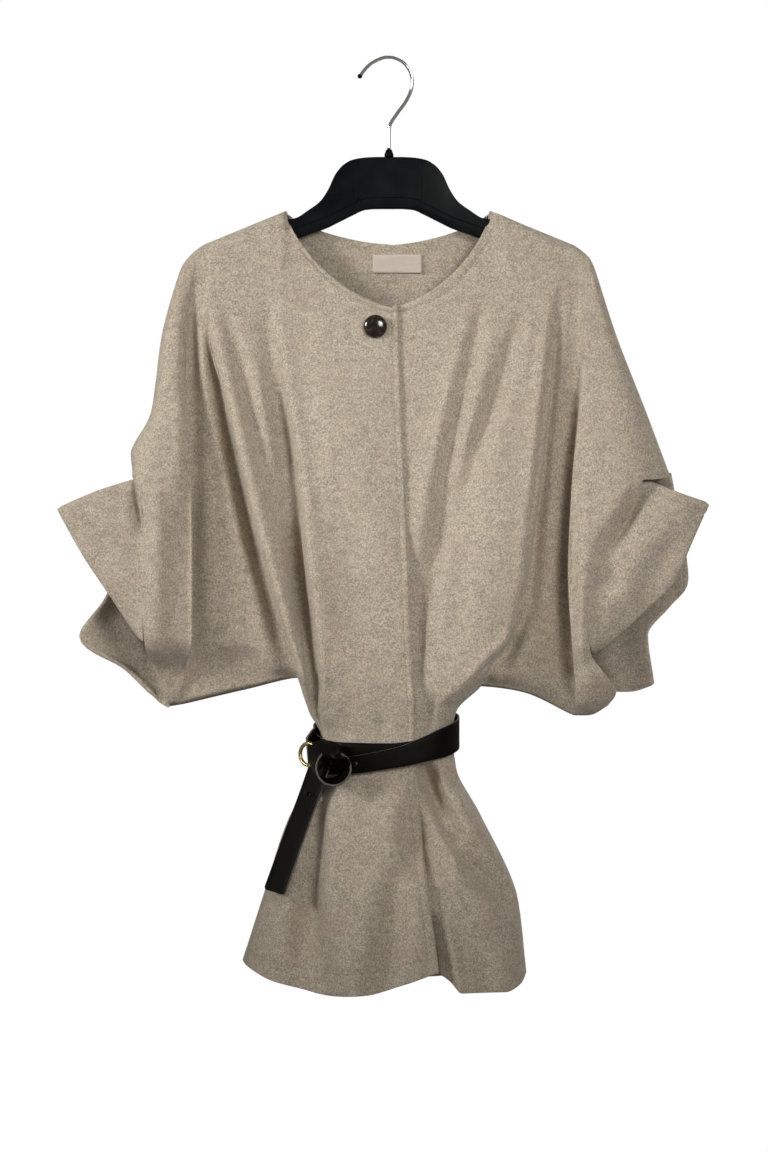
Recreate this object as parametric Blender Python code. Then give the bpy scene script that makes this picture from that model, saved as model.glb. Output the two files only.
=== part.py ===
"""A belted batwing poncho on its hanger: two fronts, a back, a button, a label, a strap belt and the hanger.

Tables are in millimetres, in the object's own frame: +X to the viewer's right, +Z up, the front
towards -Y, and the origin inside the top of the hanger's hook, where it hangs.
"""

import math

import bmesh
import bpy
import numpy as np

MM = 0.001

# Cloth: wall, space left at a seam, and the space under the lap of the right front.
CLOTH = 2.2
SEAM_GAP = 0.3
LAP_SPACE = 0.7
LAP_STEP = 5.0
# Rounds of evening out the direction in which the wall is thickened.
EASE = 2

# Neck and shoulders.
NECK_RIGHT_X = -113.0
NECK_LEFT_X = 111.0
NECK_Z = -167.0
FRONT_NECK_X = 8.0
RIGHT_NECK_DROP = 110.0
LEFT_NECK_DROP = 106.0
BACK_NECK_DROP = 38.0
NECK_ROUND = 1.55
SHOULDER_SLOPE = 0.41
SHOULDER_TIP_X = 200.0
SHOULDER_TIP_DROP = 0.018
ARCH_DROP = 9.0

# Levels down the garment, and the height of each. The ridge, the underarm edge and the hem are curves.
LEVELS = ("ridge", "arch", "yoke", "chest", "elbow", "flank", "cuff", "brim",
          "under", "band_top", "band_low", "hip", "thigh", "hem")
LEVEL_Z = {"yoke": -304.0, "chest": -386.0, "elbow": -463.0, "flank": -568.0, "cuff": -639.0,
           "brim": -672.0, "under": -694.0, "band_top": -716.0, "band_low": -780.0,
           "hip": -832.0, "thigh": -925.0}
BRIM_RISE = 15.0
BRIM_SHARE = 0.6
WING_BRIM_GAIN = 0.5
ARCH = LEVELS.index("arch")
YOKE = LEVELS.index("yoke")
ELBOW = LEVELS.index("elbow")
UNDER = LEVELS.index("under")
THIGH = LEVELS.index("thigh")

# How far the cloth stands from the middle plane at each height.
DEPTH = (
    # height, front, back
    (-167.0, 10.0, 10.0),
    (-205.0, 13.0, 14.0),
    (-260.0, 21.0, 21.0),
    (-304.0, 28.0, 27.0),
    (-386.0, 43.0, 39.0),
    (-463.0, 53.0, 48.0),
    (-568.0, 61.0, 56.0),
    (-639.0, 63.0, 58.0),
    (-694.0, 57.0, 54.0),
    (-716.0, 50.0, 50.0),
    (-788.0, 50.0, 50.0),
    (-832.0, 60.0, 62.0),
    (-925.0, 76.0, 80.0),
    (-1030.0, 84.0, 90.0),
)
WAIST_DEPTH = 50.0
BODY_ROUND = 2.4

# How strongly the folds show at each level.
FOLD_GAIN = {"ridge": 0.0, "arch": 0.0, "yoke": 0.45, "chest": 0.85, "elbow": 1.0, "flank": 1.0,
             "cuff": 1.0, "brim": 0.9, "under": 0.8, "band_top": 0.45, "band_low": 0.45,
             "hip": 0.8, "thigh": 1.0, "hem": 1.0}

# Fold lines of the fronts: distance across at each level, the share of the depth that the fold
# keeps above the underarm, and how far it sinks below it.
BODY_COLUMNS = ("ridge", "yoke", "chest", "elbow", "flank", "cuff", "under", "waist", "hip", "thigh", "hem")
RIGHT_BODY = {
    # fold: ridge, yoke, chest, elbow, flank, cuff, under, waist, hip, thigh, hem, above, below
    "edge": (8, 9, 12, 15, 19, 22, 25, 26, 31, 42, 53, 0.88, 0.02),
    "chest": (-48, -46, -43, -40, -33, -26, -19, -14, -18, -21, -20, 1.00, 0.00),
    "neck bend": (-106, -108, -92, -79, -68, -59, -48, -38, -50, -65, -73, 1.00, 0.00),
    "inner crest": (-113, -114, -98, -85, -74, -65, -54, -44, -57, -72, -80, 1.00, 0.00),
    "soft trough": (-142, -139, -125, -112, -101, -90, -76, -59, -78, -94, -102, 0.72, 0.20),
    "narrow crest": (-172, -169, -154, -138, -122, -106, -88, -68, -94, -116, -128, 0.98, 0.00),
    "body fold": (-195, -199, -183, -163, -144, -121, -95, -74, -105, -134, -153, 0.84, 0.00),
    "body tuck": (-199, -202, -179, -156, -136, -112, -99, -76, -109, -140, -161, 0.34, 0.00),
}
LEFT_BODY = {
    # fold: ridge, yoke, chest, elbow, flank, cuff, under, waist, hip, thigh, hem, above, below
    "edge trough": (60, 84, 61, 48, 36, 33, 32, 32, 38, 50, 63, 0.77, 0.16),
    "thin crest": (92, 108, 84, 64, 48, 42, 39, 37, 49, 69, 88, 0.88, 0.00),
    "neck bend": (105, 125, 101, 76, 55, 48, 45, 41, 56, 82, 102, 0.79, 0.08),
    "chest trough": (111, 130, 106, 80, 58, 51, 47, 43, 60, 86, 106, 0.76, 0.10),
    "broad crest": (150, 157, 139, 122, 103, 93, 76, 55, 79, 113, 128, 1.00, 0.00),
    "body fold": (196, 181, 174, 166, 149, 139, 97, 67, 100, 136, 145, 0.88, 0.00),
    "body tuck": (200, 184, 169, 159, 142, 128, 101, 70, 105, 142, 151, 0.36, 0.00),
}
WING_COLUMNS = ("ridge", "yoke", "chest", "elbow", "flank", "cuff", "under")
RIGHT_WING = {
    # fold: ridge, yoke, chest, elbow, flank, cuff, under, above
    "recess": (-203, -213, -198, -190, -180, -170, -160, 0.22),
    "sleeve tuck": (-207, -223, -215, -216, -217, -214, -223, 0.30),
    "sleeve fold": (-211, -228, -216, -213, -213, -210, -229, 0.70),
    "sleeve crest": (-215, -233, -230, -240, -235, -236, -235, 0.86),
    "sleeve edge": (-219, -239, -247, -275, -259, -264, -241, 0.78),
}
LEFT_WING = {
    # fold: ridge, yoke, chest, elbow, flank, cuff, under, above
    "recess": (204, 197, 190, 182, 171, 165, 152, 0.22),
    "sleeve tuck": (207, 208, 204, 199, 195, 198, 201, 0.30),
    "sleeve fold": (210, 212, 205, 196, 191, 195, 207, 0.70),
    "sleeve crest": (213, 226, 232, 232, 208, 204, 221, 0.88),
    "sleeve edge": (216, 240, 264, 276, 224, 214, 237, 0.78),
}
WINGS = {"right": RIGHT_WING, "left": LEFT_WING}

# Top fold of each sleeve, from the hanger's tip to the cuff.
SLEEVE_TOP_COLUMNS = ("ridge", "yoke", "chest", "elbow")
SLEEVE_TOP = {"right": (-223, -245, -257, -281), "left": (220, 250, 282, 309)}
SLEEVE_TOP_ROUND = 0.16
SLEEVE_TOP_RISE = 5.0

# Underarm edge and hem, as (across, height).
UNDERARM = {
    "right": ((-241, -712), (-223, -709), (-186, -702), (-131, -686), (-99, -681)),
    "left": ((101, -693), (121, -683), (150, -698), (178, -707), (210, -722), (237, -723)),
}
HEM = {
    "right": ((-161, -991), (-130, -1010), (-96, -1020), (-60, -1029), (-24, -1027), (17, -1015), (53, -1002)),
    "left": ((53, -1000), (63, -1008), (79, -1024), (128, -1023), (144, -1015), (151, -1004)),
    "back": ((-161, -991), (-90, -1010), (0, -1016), (90, -1014), (151, -1004)),
}

# Sleeve ends: the cloth beyond the sleeve's edge, from the cuff opening down, a row for each section.
SLEEVE_ENDS = {
    # level, tuck across, tuck depth, middle across, height, depth, tip across, height, depth
    ("right", "front"): (
        (4.0, -277, 27, -320, -477, 36, -361, -496, 30),
        (4.5, -270, 36, -304, -526, 42, -339, -534, 34),
        (5.0, -268, 44, -292, -570, 44, -319, -567, 36),
        (5.5, -268, 44, -279, -602, 41, -297, -600, 35),
        (6.0, -267, 44, -270, -637, 41, -276, -632, 36),
    ),
    ("left", "front"): (
        (4.0, 278, 27, 314, -478, 38, 348, -491, 30),
        (4.5, 254, 36, 290, -520, 43, 327, -537, 32),
        (5.0, 229, 44, 268, -566, 46, 309, -576, 34),
        (5.5, 221, 46, 246, -604, 44, 276, -609, 34),
        (6.0, 217, 44, 224, -644, 40, 232, -648, 32),
    ),
    ("right", "back"): (
        (4.0, -279, 32, -288, -470, 27, -298, -478, 20),
        (5.0, -268, 38, -288, -574, 32, -308, -580, 22),
        (6.0, -272, 34, -306, -638, 26, -340, -636, 14),
        (7.0, -256, 22, -270, -684, 19, -289, -669, 12),
    ),
    ("left", "back"): (
        (4.0, 282, 32, 296, -470, 27, 311, -476, 20),
        (5.0, 238, 38, 280, -572, 32, 324, -572, 20),
        (6.0, 232, 36, 262, -640, 30, 292, -632, 18),
        (7.0, 243, 22, 264, -694, 19, 289, -684, 12),
    ),
}

# Back folds, from the middle out: the share of the way to the body fold, the share of the depth
# kept above the underarm and the sink below it.
BACK_FOLDS = {
    # fold: share, above, below
    "middle crest": (0.00, 1.00, 0.00),
    "quarter trough": (0.23, 0.80, 0.16),
    "neck bend": (0.42, 0.99, 0.01),
    "neck corner": (0.46, 1.00, 0.00),
    "side trough": (0.66, 0.76, 0.16),
    "side crest": (0.84, 0.96, 0.00),
    "body fold": (1.00, 0.86, 0.00),
    "body tuck": (None, 0.36, 0.00),
}
BACK_NECK_LINES = {
    # fold: inside the neck corner by, distance across at the yoke
    "neck bend": (6.0, 104.0),
    "neck corner": (0.0, 111.0),
}

# Steps of the mesh: the levels that get a row, and the columns from each fold to the next.
ROW_LEVELS = np.array([0, 0.5, 1, 1.5, 2, 2.5, 3, 3.5, 4, 4.33, 4.67, 5, 5.5, 6, 6.5, 7, 7.5,
                       8, 8.5, 9, 10, 10.5, 11, 12, 13])
RIGHT_STEPS = (3, 3, 1, 2, 2, 2, 1)
LEFT_STEPS = (1, 2, 2, 1, 1, 2, 2, 1)
BACK_STEPS = (2, 2, 1, 2, 2, 2, 1)
WING_STEPS = (2, 2, 1, 2, 2)
TOP_STEPS = (1, 1)
END_STEPS = (1, 2, 2)

# Button.
BUTTON_X = -15.0
BUTTON_Z = -296.0
BUTTON_R = 13.0
BUTTON_RISE = 7.0
BUTTON_EDGE = 2.4
BUTTON_SIDES = 24

# Label inside the back neck.
LABEL_MID_X = 9.0
LABEL_TOP_Z = -214.5
LABEL_W = 54.0
LABEL_H = 20.0
LABEL_T = 0.9
LABEL_STEPS = 8

# Belt: one strap, wound about twice.
STRAP_W = 33.0
STRAP_T = 2.6
BELT_CLEAR = 1.3
WRAP_GAP = 1.0
WRAP_STEPS = 44
FIRST_WRAP_Z = -757.0
FIRST_WRAP_SAG = 8.0
SECOND_WRAP = (
    # turn in degrees from the viewer's right, the front at -90, height of the strap's middle
    (-141.0, -771.5),
    (-124.0, -771.0),
    (-90.0, -768.0),
    (-50.0, -757.0),
    (-15.0, -744.0),
    (20.0, -736.0),
    (90.0, -734.0),
    (150.0, -743.0),
    (188.0, -751.0),
)
SECOND_WRAP_STEP = 7.0
# The strap's end runs on from the side to the ring, as (across, depth, height).
STRAP_END = ((-84.5, -22.0, -755.0), (-88.5, -37.6, -760.4))
KNOT_X = -62.0
KNOT_Z = -781.0
KNOT_BACK_Y = -52.0
KNOT_R = 21.0
KNOT_CORE_R = 11.0
KNOT_W = 25.0
KNOT_FROM = 62.0
KNOT_TURN = 470.0
KNOT_STEPS = 32
RING_X = -92.0
RING_Y = -41.5
RING_Z = -765.0
RING_R = 12.0
RING_WIRE = 2.1
RING_YAW = -38.0
RIVET_TURN = -122.0
RIVET_Z = -771.0
RIVET_R = 3.2
RIVET_RISE = 1.6
TAIL = (
    # across, depth, height, turn of the strap's face in degrees
    (-84.2, -37.4, -787.0, 47.0),
    (-91.4, -40.7, -814.0, 46.0),
    (-101.0, -46.0, -842.0, 45.0),
    (-113.0, -53.0, -878.0, 44.0),
    (-124.0, -58.0, -912.0, 43.0),
)
TAIL_STEPS = 3
TAIL_ROUND = 7.0

# Hanger.
HANGER = (
    # across, top, bottom
    (0, -108.0, -165.0),
    (13, -108.0, -165.0),
    (26, -108.6, -166.0),
    (40, -111.0, -172.0),
    (50, -116.5, -177.0),
    (59, -127.0, -181.5),
    (67, -144.0, -185.5),
    (76, -157.0, -189.0),
    (88, -166.0, -193.0),
    (104, -175.5, -199.0),
    (125, -178.0, -206.0),
    (165, -194.0, -217.0),
    (196, -207.5, -226.0),
    (203, -212.0, -225.0),
)
HANGER_LIP_H = 12.0
PLATE_T = 7.0
LIP_T = 11.0
COLLAR_R = 5.0
COLLAR_H = 8.0
WIRE_R = 1.9
WIRE_SIDES = 10
HOOK_FOOT_Z = -99.4
HOOK_LINE = ((0, -99.4), (0, -84), (1, -73), (9, -60), (19, -46), (24.8, -32), (24.5, -17), (16, -4),
             (5, 1.4), (0, 1.9), (-6, 1.3), (-18, -4), (-26, -11), (-32, -19))
HOOK_STEPS = 3


def monotone(knots, values, at):
    """A smooth curve through the knots that doesn't overshoot them."""
    k = np.asarray(knots, float)
    v = np.asarray(values, float)
    flat = v.ndim == 1
    v = v[:, None] if flat else v
    h = np.diff(k)[:, None]
    d = np.diff(v, axis=0) / h
    m = np.zeros_like(v)
    m[0] = d[0]
    m[-1] = d[-1]
    if len(k) > 2:
        same = d[:-1] * d[1:] > 0
        total = np.where(same, d[:-1] + d[1:], 1.0)
        m[1:-1] = np.where(same, 2 * d[:-1] * d[1:] / total, 0.0)
    x = np.atleast_1d(np.asarray(at, float))
    i = np.clip(np.searchsorted(k, x) - 1, 0, len(k) - 2)
    t = ((x - k[i]) / h[i, 0])[:, None]
    out = ((1 + 2 * t) * (1 - t) ** 2 * v[i] + t * (1 - t) ** 2 * h[i] * m[i]
           + t * t * (3 - 2 * t) * v[i + 1] + t * t * (t - 1) * h[i] * m[i + 1])
    return out[:, 0] if flat else out


def through(points, counts):
    """Points along a curve through the given ones, with counts[i] steps from point i to the next."""
    p = np.asarray(points, float)
    ends = np.vstack([2 * p[0] - p[1], p, 2 * p[-1] - p[-2]])
    out = [p[0]]
    for i, count in enumerate(counts):
        a, b, c, d = ends[i:i + 4]
        gaps = [max(np.linalg.norm(v - u), 1e-6) ** 0.5 for u, v in ((a, b), (b, c), (c, d))]
        t0, t1, t2, t3 = np.concatenate([[0.0], np.cumsum(gaps)])
        for t in np.linspace(t1, t2, count + 1)[1:]:
            ab = a + (b - a) * (t - t0) / (t1 - t0)
            bc = b + (c - b) * (t - t1) / (t2 - t1)
            cd = c + (d - c) * (t - t2) / (t3 - t2)
            abc = ab + (bc - ab) * (t - t0) / (t2 - t0)
            bcd = bc + (cd - bc) * (t - t1) / (t3 - t1)
            out.append(abc + (bcd - abc) * (t - t1) / (t2 - t1))
    return np.array(out)


def curve_z(table, x):
    """Height of a boundary curve at x, from a table of (across, height)."""
    rows = np.array(table, float)
    return monotone(rows[:, 0], rows[:, 1], np.clip(x, rows[0, 0], rows[-1, 0]))[0]


def depth_at(z, side):
    """How far the front or the back stands from the middle plane at a height."""
    rows = np.array(DEPTH[::-1])
    column = 1 if side == "front" else 2
    return monotone(rows[:, 0], rows[:, column], np.clip(z, rows[0, 0], rows[-1, 0]))[0]


def top_z(x, side):
    """Height of the neck edge and of the shoulder ridge at x."""
    if on_shoulder(x):
        out = NECK_RIGHT_X - x if x < 0 else x - NECK_LEFT_X
        tip = max(abs(x) - SHOULDER_TIP_X, 0.0)
        return NECK_Z - SHOULDER_SLOPE * out - SHOULDER_TIP_DROP * tip ** 2
    middle = FRONT_NECK_X if side == "front" else 0.0
    drop = RIGHT_NECK_DROP if x < middle else LEFT_NECK_DROP
    drop = drop if side == "front" else BACK_NECK_DROP
    reach = (middle - NECK_RIGHT_X) if x < middle else (NECK_LEFT_X - middle)
    share = min(abs(x - middle) / reach, 1.0)
    return NECK_Z - drop * (1 - share ** NECK_ROUND) ** (1 / NECK_ROUND)


def on_shoulder(x):
    return x <= NECK_RIGHT_X + 0.01 or x >= NECK_LEFT_X - 0.01


def spread(columns, row):
    """A fold's distance across at every level, from its named columns."""
    known = {}
    for name, x in zip(columns, row):
        for level in ("band_top", "band_low") if name == "waist" else (name,):
            known[LEVELS.index(level)] = x
    return monotone(sorted(known), [known[i] for i in sorted(known)], np.arange(max(known) + 1))


def side_seams(level):
    """The two side seams at a level below the underarm."""
    return (spread(BODY_COLUMNS, RIGHT_BODY["body tuck"][:11])[level],
            spread(BODY_COLUMNS, LEFT_BODY["body tuck"][:11])[level])


def body_rail(row, above, below, side, wearer, seam):
    """A fold line from the neck or shoulder to the hem, a point at each level."""
    sign = -1.0 if side == "front" else 1.0
    x = spread(BODY_COLUMNS, row)
    top = top_z(x[0], side)
    out = []
    for i, name in enumerate(LEVELS):
        z = {"ridge": top, "arch": top - ARCH_DROP}.get(name, LEVEL_Z.get(name))
        if name == "hem":
            z = curve_z(HEM["back" if side == "back" else wearer], x[i])
        elif name == "under" and seam:
            z = curve_z(UNDERARM[wearer], x[i])
        y = depth_at(z, side)
        gain = FOLD_GAIN[name]
        if i < UNDER:
            y *= 1 - (1 - above) * gain
        else:
            right, left = side_seams(i)
            share = min(abs(x[i] - (right + left) / 2) / ((left - right) / 2), 1.0)
            y *= (1 - share ** BODY_ROUND) ** (1 / BODY_ROUND) * (1 - below * gain)
        if (seam and i >= UNDER) or (name == "ridge" and on_shoulder(x[0])):
            y = SEAM_GAP / 2
        out.append((x[i], sign * y, z))
    return np.array(out)


def wing_rail(row, side, wearer):
    """A fold line of the sleeve, from the shoulder to the underarm edge."""
    sign = -1.0 if side == "front" else 1.0
    x = spread(WING_COLUMNS, row)
    above = row[-1]
    top = top_z(x[0], side)
    low = curve_z(UNDERARM[wearer], x[UNDER])
    ends = {"ridge": top, "arch": top - ARCH_DROP, "brim": low + BRIM_RISE, "under": low}
    out = []
    for i, name in enumerate(LEVELS[:UNDER + 1]):
        z = ends.get(name, LEVEL_Z.get(name))
        gain = WING_BRIM_GAIN if name == "brim" else FOLD_GAIN[name]
        y = depth_at(z, side) * (1 - (1 - above) * gain)
        if name in ("ridge", "under"):
            y = SEAM_GAP / 2
        elif name == "brim":
            y *= BRIM_SHARE
        out.append((x[i], sign * y, z))
    return np.array(out)


def sleeve_top_rails(edge, wearer, side):
    """The sleeve's top fold, from the shoulder to the elbow: the round of the roll, then the seam."""
    sign = -1.0 if side == "front" else 1.0
    x = spread(SLEEVE_TOP_COLUMNS, SLEEVE_TOP[wearer])
    edge = edge[:ELBOW + 1]
    seam = edge.copy()
    seam[:, 0] = x
    seam[:, 1] = sign * SEAM_GAP / 2
    seam[0, 2] = top_z(x[0], side)
    seam[ARCH, 2] = seam[0, 2] - ARCH_DROP
    seam[ELBOW, 2] += SLEEVE_TOP_RISE
    turn = (edge + seam) / 2
    turn[:, 0] = x + SLEEVE_TOP_ROUND * (edge[:, 0] - x)
    return turn, seam


def sleeve_end_rows(wearer, side, levels):
    """Tuck, middle and tip of a sleeve end at the given levels."""
    sign = -1.0 if side == "front" else 1.0
    table = np.array(SLEEVE_ENDS[(wearer, side)], float)
    v = monotone(table[:, 0], table[:, 1:], levels)
    tuck = np.stack([v[:, 0], sign * v[:, 1], np.zeros(len(v))], axis=1)
    middle = np.stack([v[:, 2], sign * v[:, 4], v[:, 3]], axis=1)
    tip = np.stack([v[:, 5], sign * v[:, 7], v[:, 6]], axis=1)
    return tuck, middle, tip


def rows_of(rail, levels):
    return monotone(np.arange(len(rail)), rail, levels)


class Sheet:
    """A panel's outer face, collected from patches and made into a wall."""

    def __init__(self, outward):
        self.outward = outward
        self.index = {}
        self.points = []
        self.faces = []

    def vertex(self, p):
        own_side = self.outward * max(self.outward * p[1], SEAM_GAP / 2)
        p = np.array([p[0], own_side, p[2]])
        key = tuple(np.round(p, 4))
        if key not in self.index:
            self.index[key] = len(self.points)
            self.points.append(p)
        return self.index[key]

    def patch(self, rows):
        ids = [[self.vertex(p) for p in row] for row in rows]
        quads = []
        for a, b in zip(ids[:-1], ids[1:]):
            for k in range(len(a) - 1):
                corners = tuple(dict.fromkeys((a[k], a[k + 1], b[k + 1], b[k])))
                if len(corners) > 2:
                    quads.append(corners)
        p = np.array(self.points)
        total = sum(np.cross(p[q[1]] - p[q[0]], p[q[-1]] - p[q[0]]) for q in quads)
        if total[1] * self.outward < 0:
            quads = [q[::-1] for q in quads]
        self.faces += quads

    def normals(self):
        p = np.array(self.points)
        n = np.zeros_like(p)
        for f in self.faces:
            for i, v in enumerate(f):
                a = p[f[i - 1]] - p[v]
                b = p[f[(i + 1) % len(f)]] - p[v]
                c = np.cross(b, a)
                size = np.linalg.norm(c)
                if size > 1e-9:
                    n[v] += c / size * math.atan2(size, float(np.dot(a, b)))
        seam = np.abs(p[:, 1]) < SEAM_GAP / 2 + 0.01
        pairs = np.array([(v, f[(i + 1) % len(f)]) for f in self.faces for i, v in enumerate(f)])
        for k in range(EASE + 1):
            n[seam, 1] = 0.0
            n = n / np.maximum(np.linalg.norm(n, axis=1, keepdims=True), 1e-9)
            if k < EASE:
                near = n.copy()
                np.add.at(near, pairs[:, 0], n[pairs[:, 1]] / 4)
                np.add.at(near, pairs[:, 1], n[pairs[:, 0]] / 4)
                n = near
        return n

    def triangles(self):
        """Each face cut along its shorter diagonal, so both sides of the wall turn alike."""
        p = np.array(self.points)
        cut = []
        for f in self.faces:
            if len(f) == 3:
                cut.append(f)
                continue
            a, b, c, d = f
            if np.linalg.norm(p[a] - p[c]) <= np.linalg.norm(p[b] - p[d]):
                cut += [(a, b, c), (a, c, d)]
            else:
                cut += [(a, b, d), (b, c, d)]
        return cut

    def wall(self):
        p = np.array(self.points)
        inner = p - self.normals() * CLOTH
        inner[:, 1] = self.outward * np.maximum(self.outward * inner[:, 1], SEAM_GAP / 2)
        count = len(p)
        edges = {(v, f[(i + 1) % len(f)]) for f in self.faces for i, v in enumerate(f)}
        outer = self.triangles()
        faces = outer + [tuple(v + count for v in f[::-1]) for f in outer]
        faces += [(b, a, a + count, b + count) for a, b in sorted(edges) if (b, a) not in edges]
        return np.vstack([p, inner]), faces


def fit_top(grid, levels, side, laid=0):
    """The neck edge and shoulder ridge follow their own curves, and the cloth rounds over the ridge.

    The first laid columns are left as they are.
    """
    arch = int(np.argmin(np.abs(levels - ARCH)))
    for c in range(laid, grid.shape[1]):
        x = grid[0, c, 0]
        lift = top_z(x, side) - grid[0, c, 2]
        grid[:, c, 2] += lift * np.clip(1 - levels / YOKE, 0, 1)
        if on_shoulder(x):
            grid[0, c, 1] = math.copysign(SEAM_GAP / 2, grid[arch, c, 1])
            for r in range(1, arch):
                turn = levels[r] / ARCH * math.pi / 2
                grid[r, c, 1] = grid[arch, c, 1] * math.sin(turn)
                grid[r, c, 2] = grid[0, c, 2] + (grid[arch, c, 2] - grid[0, c, 2]) * (1 - math.cos(turn))


def fit_hem(grid, levels, table, laid=0):
    for c in range(laid, grid.shape[1]):
        lift = curve_z(table, grid[-1, c, 0]) - grid[-1, c, 2]
        grid[:, c, 2] += lift * np.clip(levels - THIGH, 0, 1)


def half_panel(sheet, body, steps, wearer, side, levels, laid=0):
    """Lays one half panel on the sheet, body and sleeve, and returns the body's grid of points.

    body holds the points of each body line, row by row. The first laid columns keep their heights.
    """
    wing = [wing_rail(row, side, wearer) for row in WINGS[wearer].values()]
    tops = sleeve_top_rails(wing[-1], wearer, side)
    raised = levels[levels <= UNDER + 1e-6]
    last = SLEEVE_ENDS[(wearer, side)][-1][0]
    ends = sleeve_end_rows(wearer, side, raised)
    wing = [rows_of(r, raised) for r in wing]
    tops = [rows_of(r, np.minimum(raised, ELBOW)) for r in tops]
    wing_at = sum(steps)
    edge_at = wing_at + sum(WING_STEPS)
    body_grid, wing_grid, top_grid, end_grid = [], [], [], []
    for r, level in enumerate(levels):
        line = [b[r] for b in body]
        counts = list(steps)
        row = None
        if level > UNDER + 1e-6:
            row = through(line, counts)
        else:
            line += [w[r] for w in wing]
            counts += WING_STEPS
            if level <= ELBOW + 1e-6:
                row = through(line + [t[r] for t in tops], counts + list(TOP_STEPS))
                top_grid.append(row[edge_at:])
            if ELBOW - 1e-6 <= level <= last + 1e-6:
                tuck, middle, tip = (e[r].copy() for e in ends)
                tuck[2] = line[-1][2]
                end = through(line + [tuck, middle, tip], counts + list(END_STEPS))
                end_grid.append(end[edge_at:])
                row = end if row is None else row
            row = through(line, counts) if row is None else row
            wing_grid.append(row[wing_at:edge_at + 1])
        body_grid.append(row[:wing_at + 1])
    body_grid, wing_grid, top_grid = (np.array(g) for g in (body_grid, wing_grid, top_grid))
    fit_top(body_grid, levels, side, laid)
    fit_top(wing_grid, raised, side)
    fit_top(top_grid, raised[:len(top_grid)], side)
    fit_hem(body_grid, levels, HEM["back" if side == "back" else wearer], laid)
    for grid in (body_grid, wing_grid, top_grid, end_grid):
        sheet.patch(grid)
    return body_grid


def front_lines(table, wearer):
    return [rows_of(body_rail(row[:11], row[11], row[12], "front", wearer, name == "body tuck"), ROW_LEVELS)
            for name, row in table.items()]


def build_fronts():
    """The two fronts. The left one's underlap is the right one's own form, moved in."""
    right = Sheet(-1)
    grid = half_panel(right, front_lines(RIGHT_BODY, "right"), RIGHT_STEPS, "right", "front", ROW_LEVELS)
    normals = right.normals()
    lap = np.zeros((len(grid), RIGHT_STEPS[0], 3))
    for r in range(lap.shape[0]):
        for c in range(lap.shape[1]):
            lap[r, c] = grid[r, c] - normals[right.vertex(grid[r, c])] * (CLOTH + LAP_SPACE)
    beside = lap[:, 0] + (LAP_STEP, 0.6, 0.0)
    left = Sheet(-1)
    lines = [lap[:, 0], beside] + front_lines(LEFT_BODY, "left")
    half_panel(left, lines, LEFT_STEPS, "left", "front", ROW_LEVELS, laid=2)
    left.patch(lap[:, ::-1])
    return right, left, grid


def back_lines(wearer):
    """The back's fold lines on one side, spread from the middle to the body fold."""
    table = RIGHT_BODY if wearer == "right" else LEFT_BODY
    fold = np.array(table["body fold"][:11], float)
    out = []
    for name, (share, above, below) in BACK_FOLDS.items():
        row = np.array(table["body tuck"][:11], float) if share is None else fold * share
        if name in BACK_NECK_LINES:
            inside, yoke = BACK_NECK_LINES[name]
            corner = NECK_RIGHT_X if wearer == "right" else NECK_LEFT_X
            row[0] = corner - math.copysign(inside, corner)
            row[1] = math.copysign(yoke, corner)
        out.append(rows_of(body_rail(row, above, below, "back", wearer, share is None), ROW_LEVELS))
    return out


def build_back():
    sheet = Sheet(1)
    grids = [half_panel(sheet, back_lines(w), BACK_STEPS, w, "back", ROW_LEVELS) for w in ("right", "left")]
    return sheet, np.concatenate([grids[0][:, :0:-1], grids[1]], axis=1)


def clear():
    for o in list(bpy.data.objects):
        bpy.data.objects.remove(o, do_unlink=True)


def material(name, colour, rough, metal=0.0):
    m = bpy.data.materials.new(name)
    m.use_nodes = True
    shader = m.node_tree.nodes["Principled BSDF"]
    shader.inputs["Base Color"].default_value = (*colour, 1.0)
    shader.inputs["Roughness"].default_value = rough
    shader.inputs["Metallic"].default_value = metal
    return m


def solid(name, shape, mat):
    points, faces = shape
    mesh = bpy.data.meshes.new(name)
    mesh.from_pydata([tuple(float(c) * MM for c in p) for p in points], [], faces)
    b = bmesh.new()
    b.from_mesh(mesh)
    bmesh.ops.recalc_face_normals(b, faces=b.faces)
    b.to_mesh(mesh)
    b.free()
    mesh.materials.append(mat)
    o = bpy.data.objects.new(name, mesh)
    bpy.context.scene.collection.objects.link(o)


def loft(sections, closed=False):
    """Faces over a run of sections with the same number of points, capped unless closed."""
    sections = np.array(sections)
    count, n = sections.shape[:2]
    faces = []
    for s in range(count if closed else count - 1):
        a, b = s * n, ((s + 1) % count) * n
        faces += [(a + k, a + (k + 1) % n, b + (k + 1) % n, b + k) for k in range(n)]
    if not closed:
        faces += [tuple(range(n))[::-1], tuple(range((count - 1) * n, count * n))]
    return sections.reshape(-1, 3), faces


def along(path, closed):
    t = np.roll(path, -1, axis=0) - np.roll(path, 1, axis=0) if closed else np.gradient(path, axis=0)
    return t / np.linalg.norm(t, axis=1, keepdims=True)


def strap(path, across, widths, closed=False):
    """A flat strap along its middle line, with the direction across it at each point."""
    path = np.asarray(path, float)
    sections = []
    for p, t, w, width in zip(path, along(path, closed), np.asarray(across, float), widths):
        w = w - np.dot(w, t) * t
        w = w / np.linalg.norm(w)
        n = np.cross(t, w)
        sections.append([p + w * width / 2 * i + n * STRAP_T / 2 * j
                         for i, j in ((-1, -1), (1, -1), (1, 1), (-1, 1))])
    return loft(sections, closed)


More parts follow.
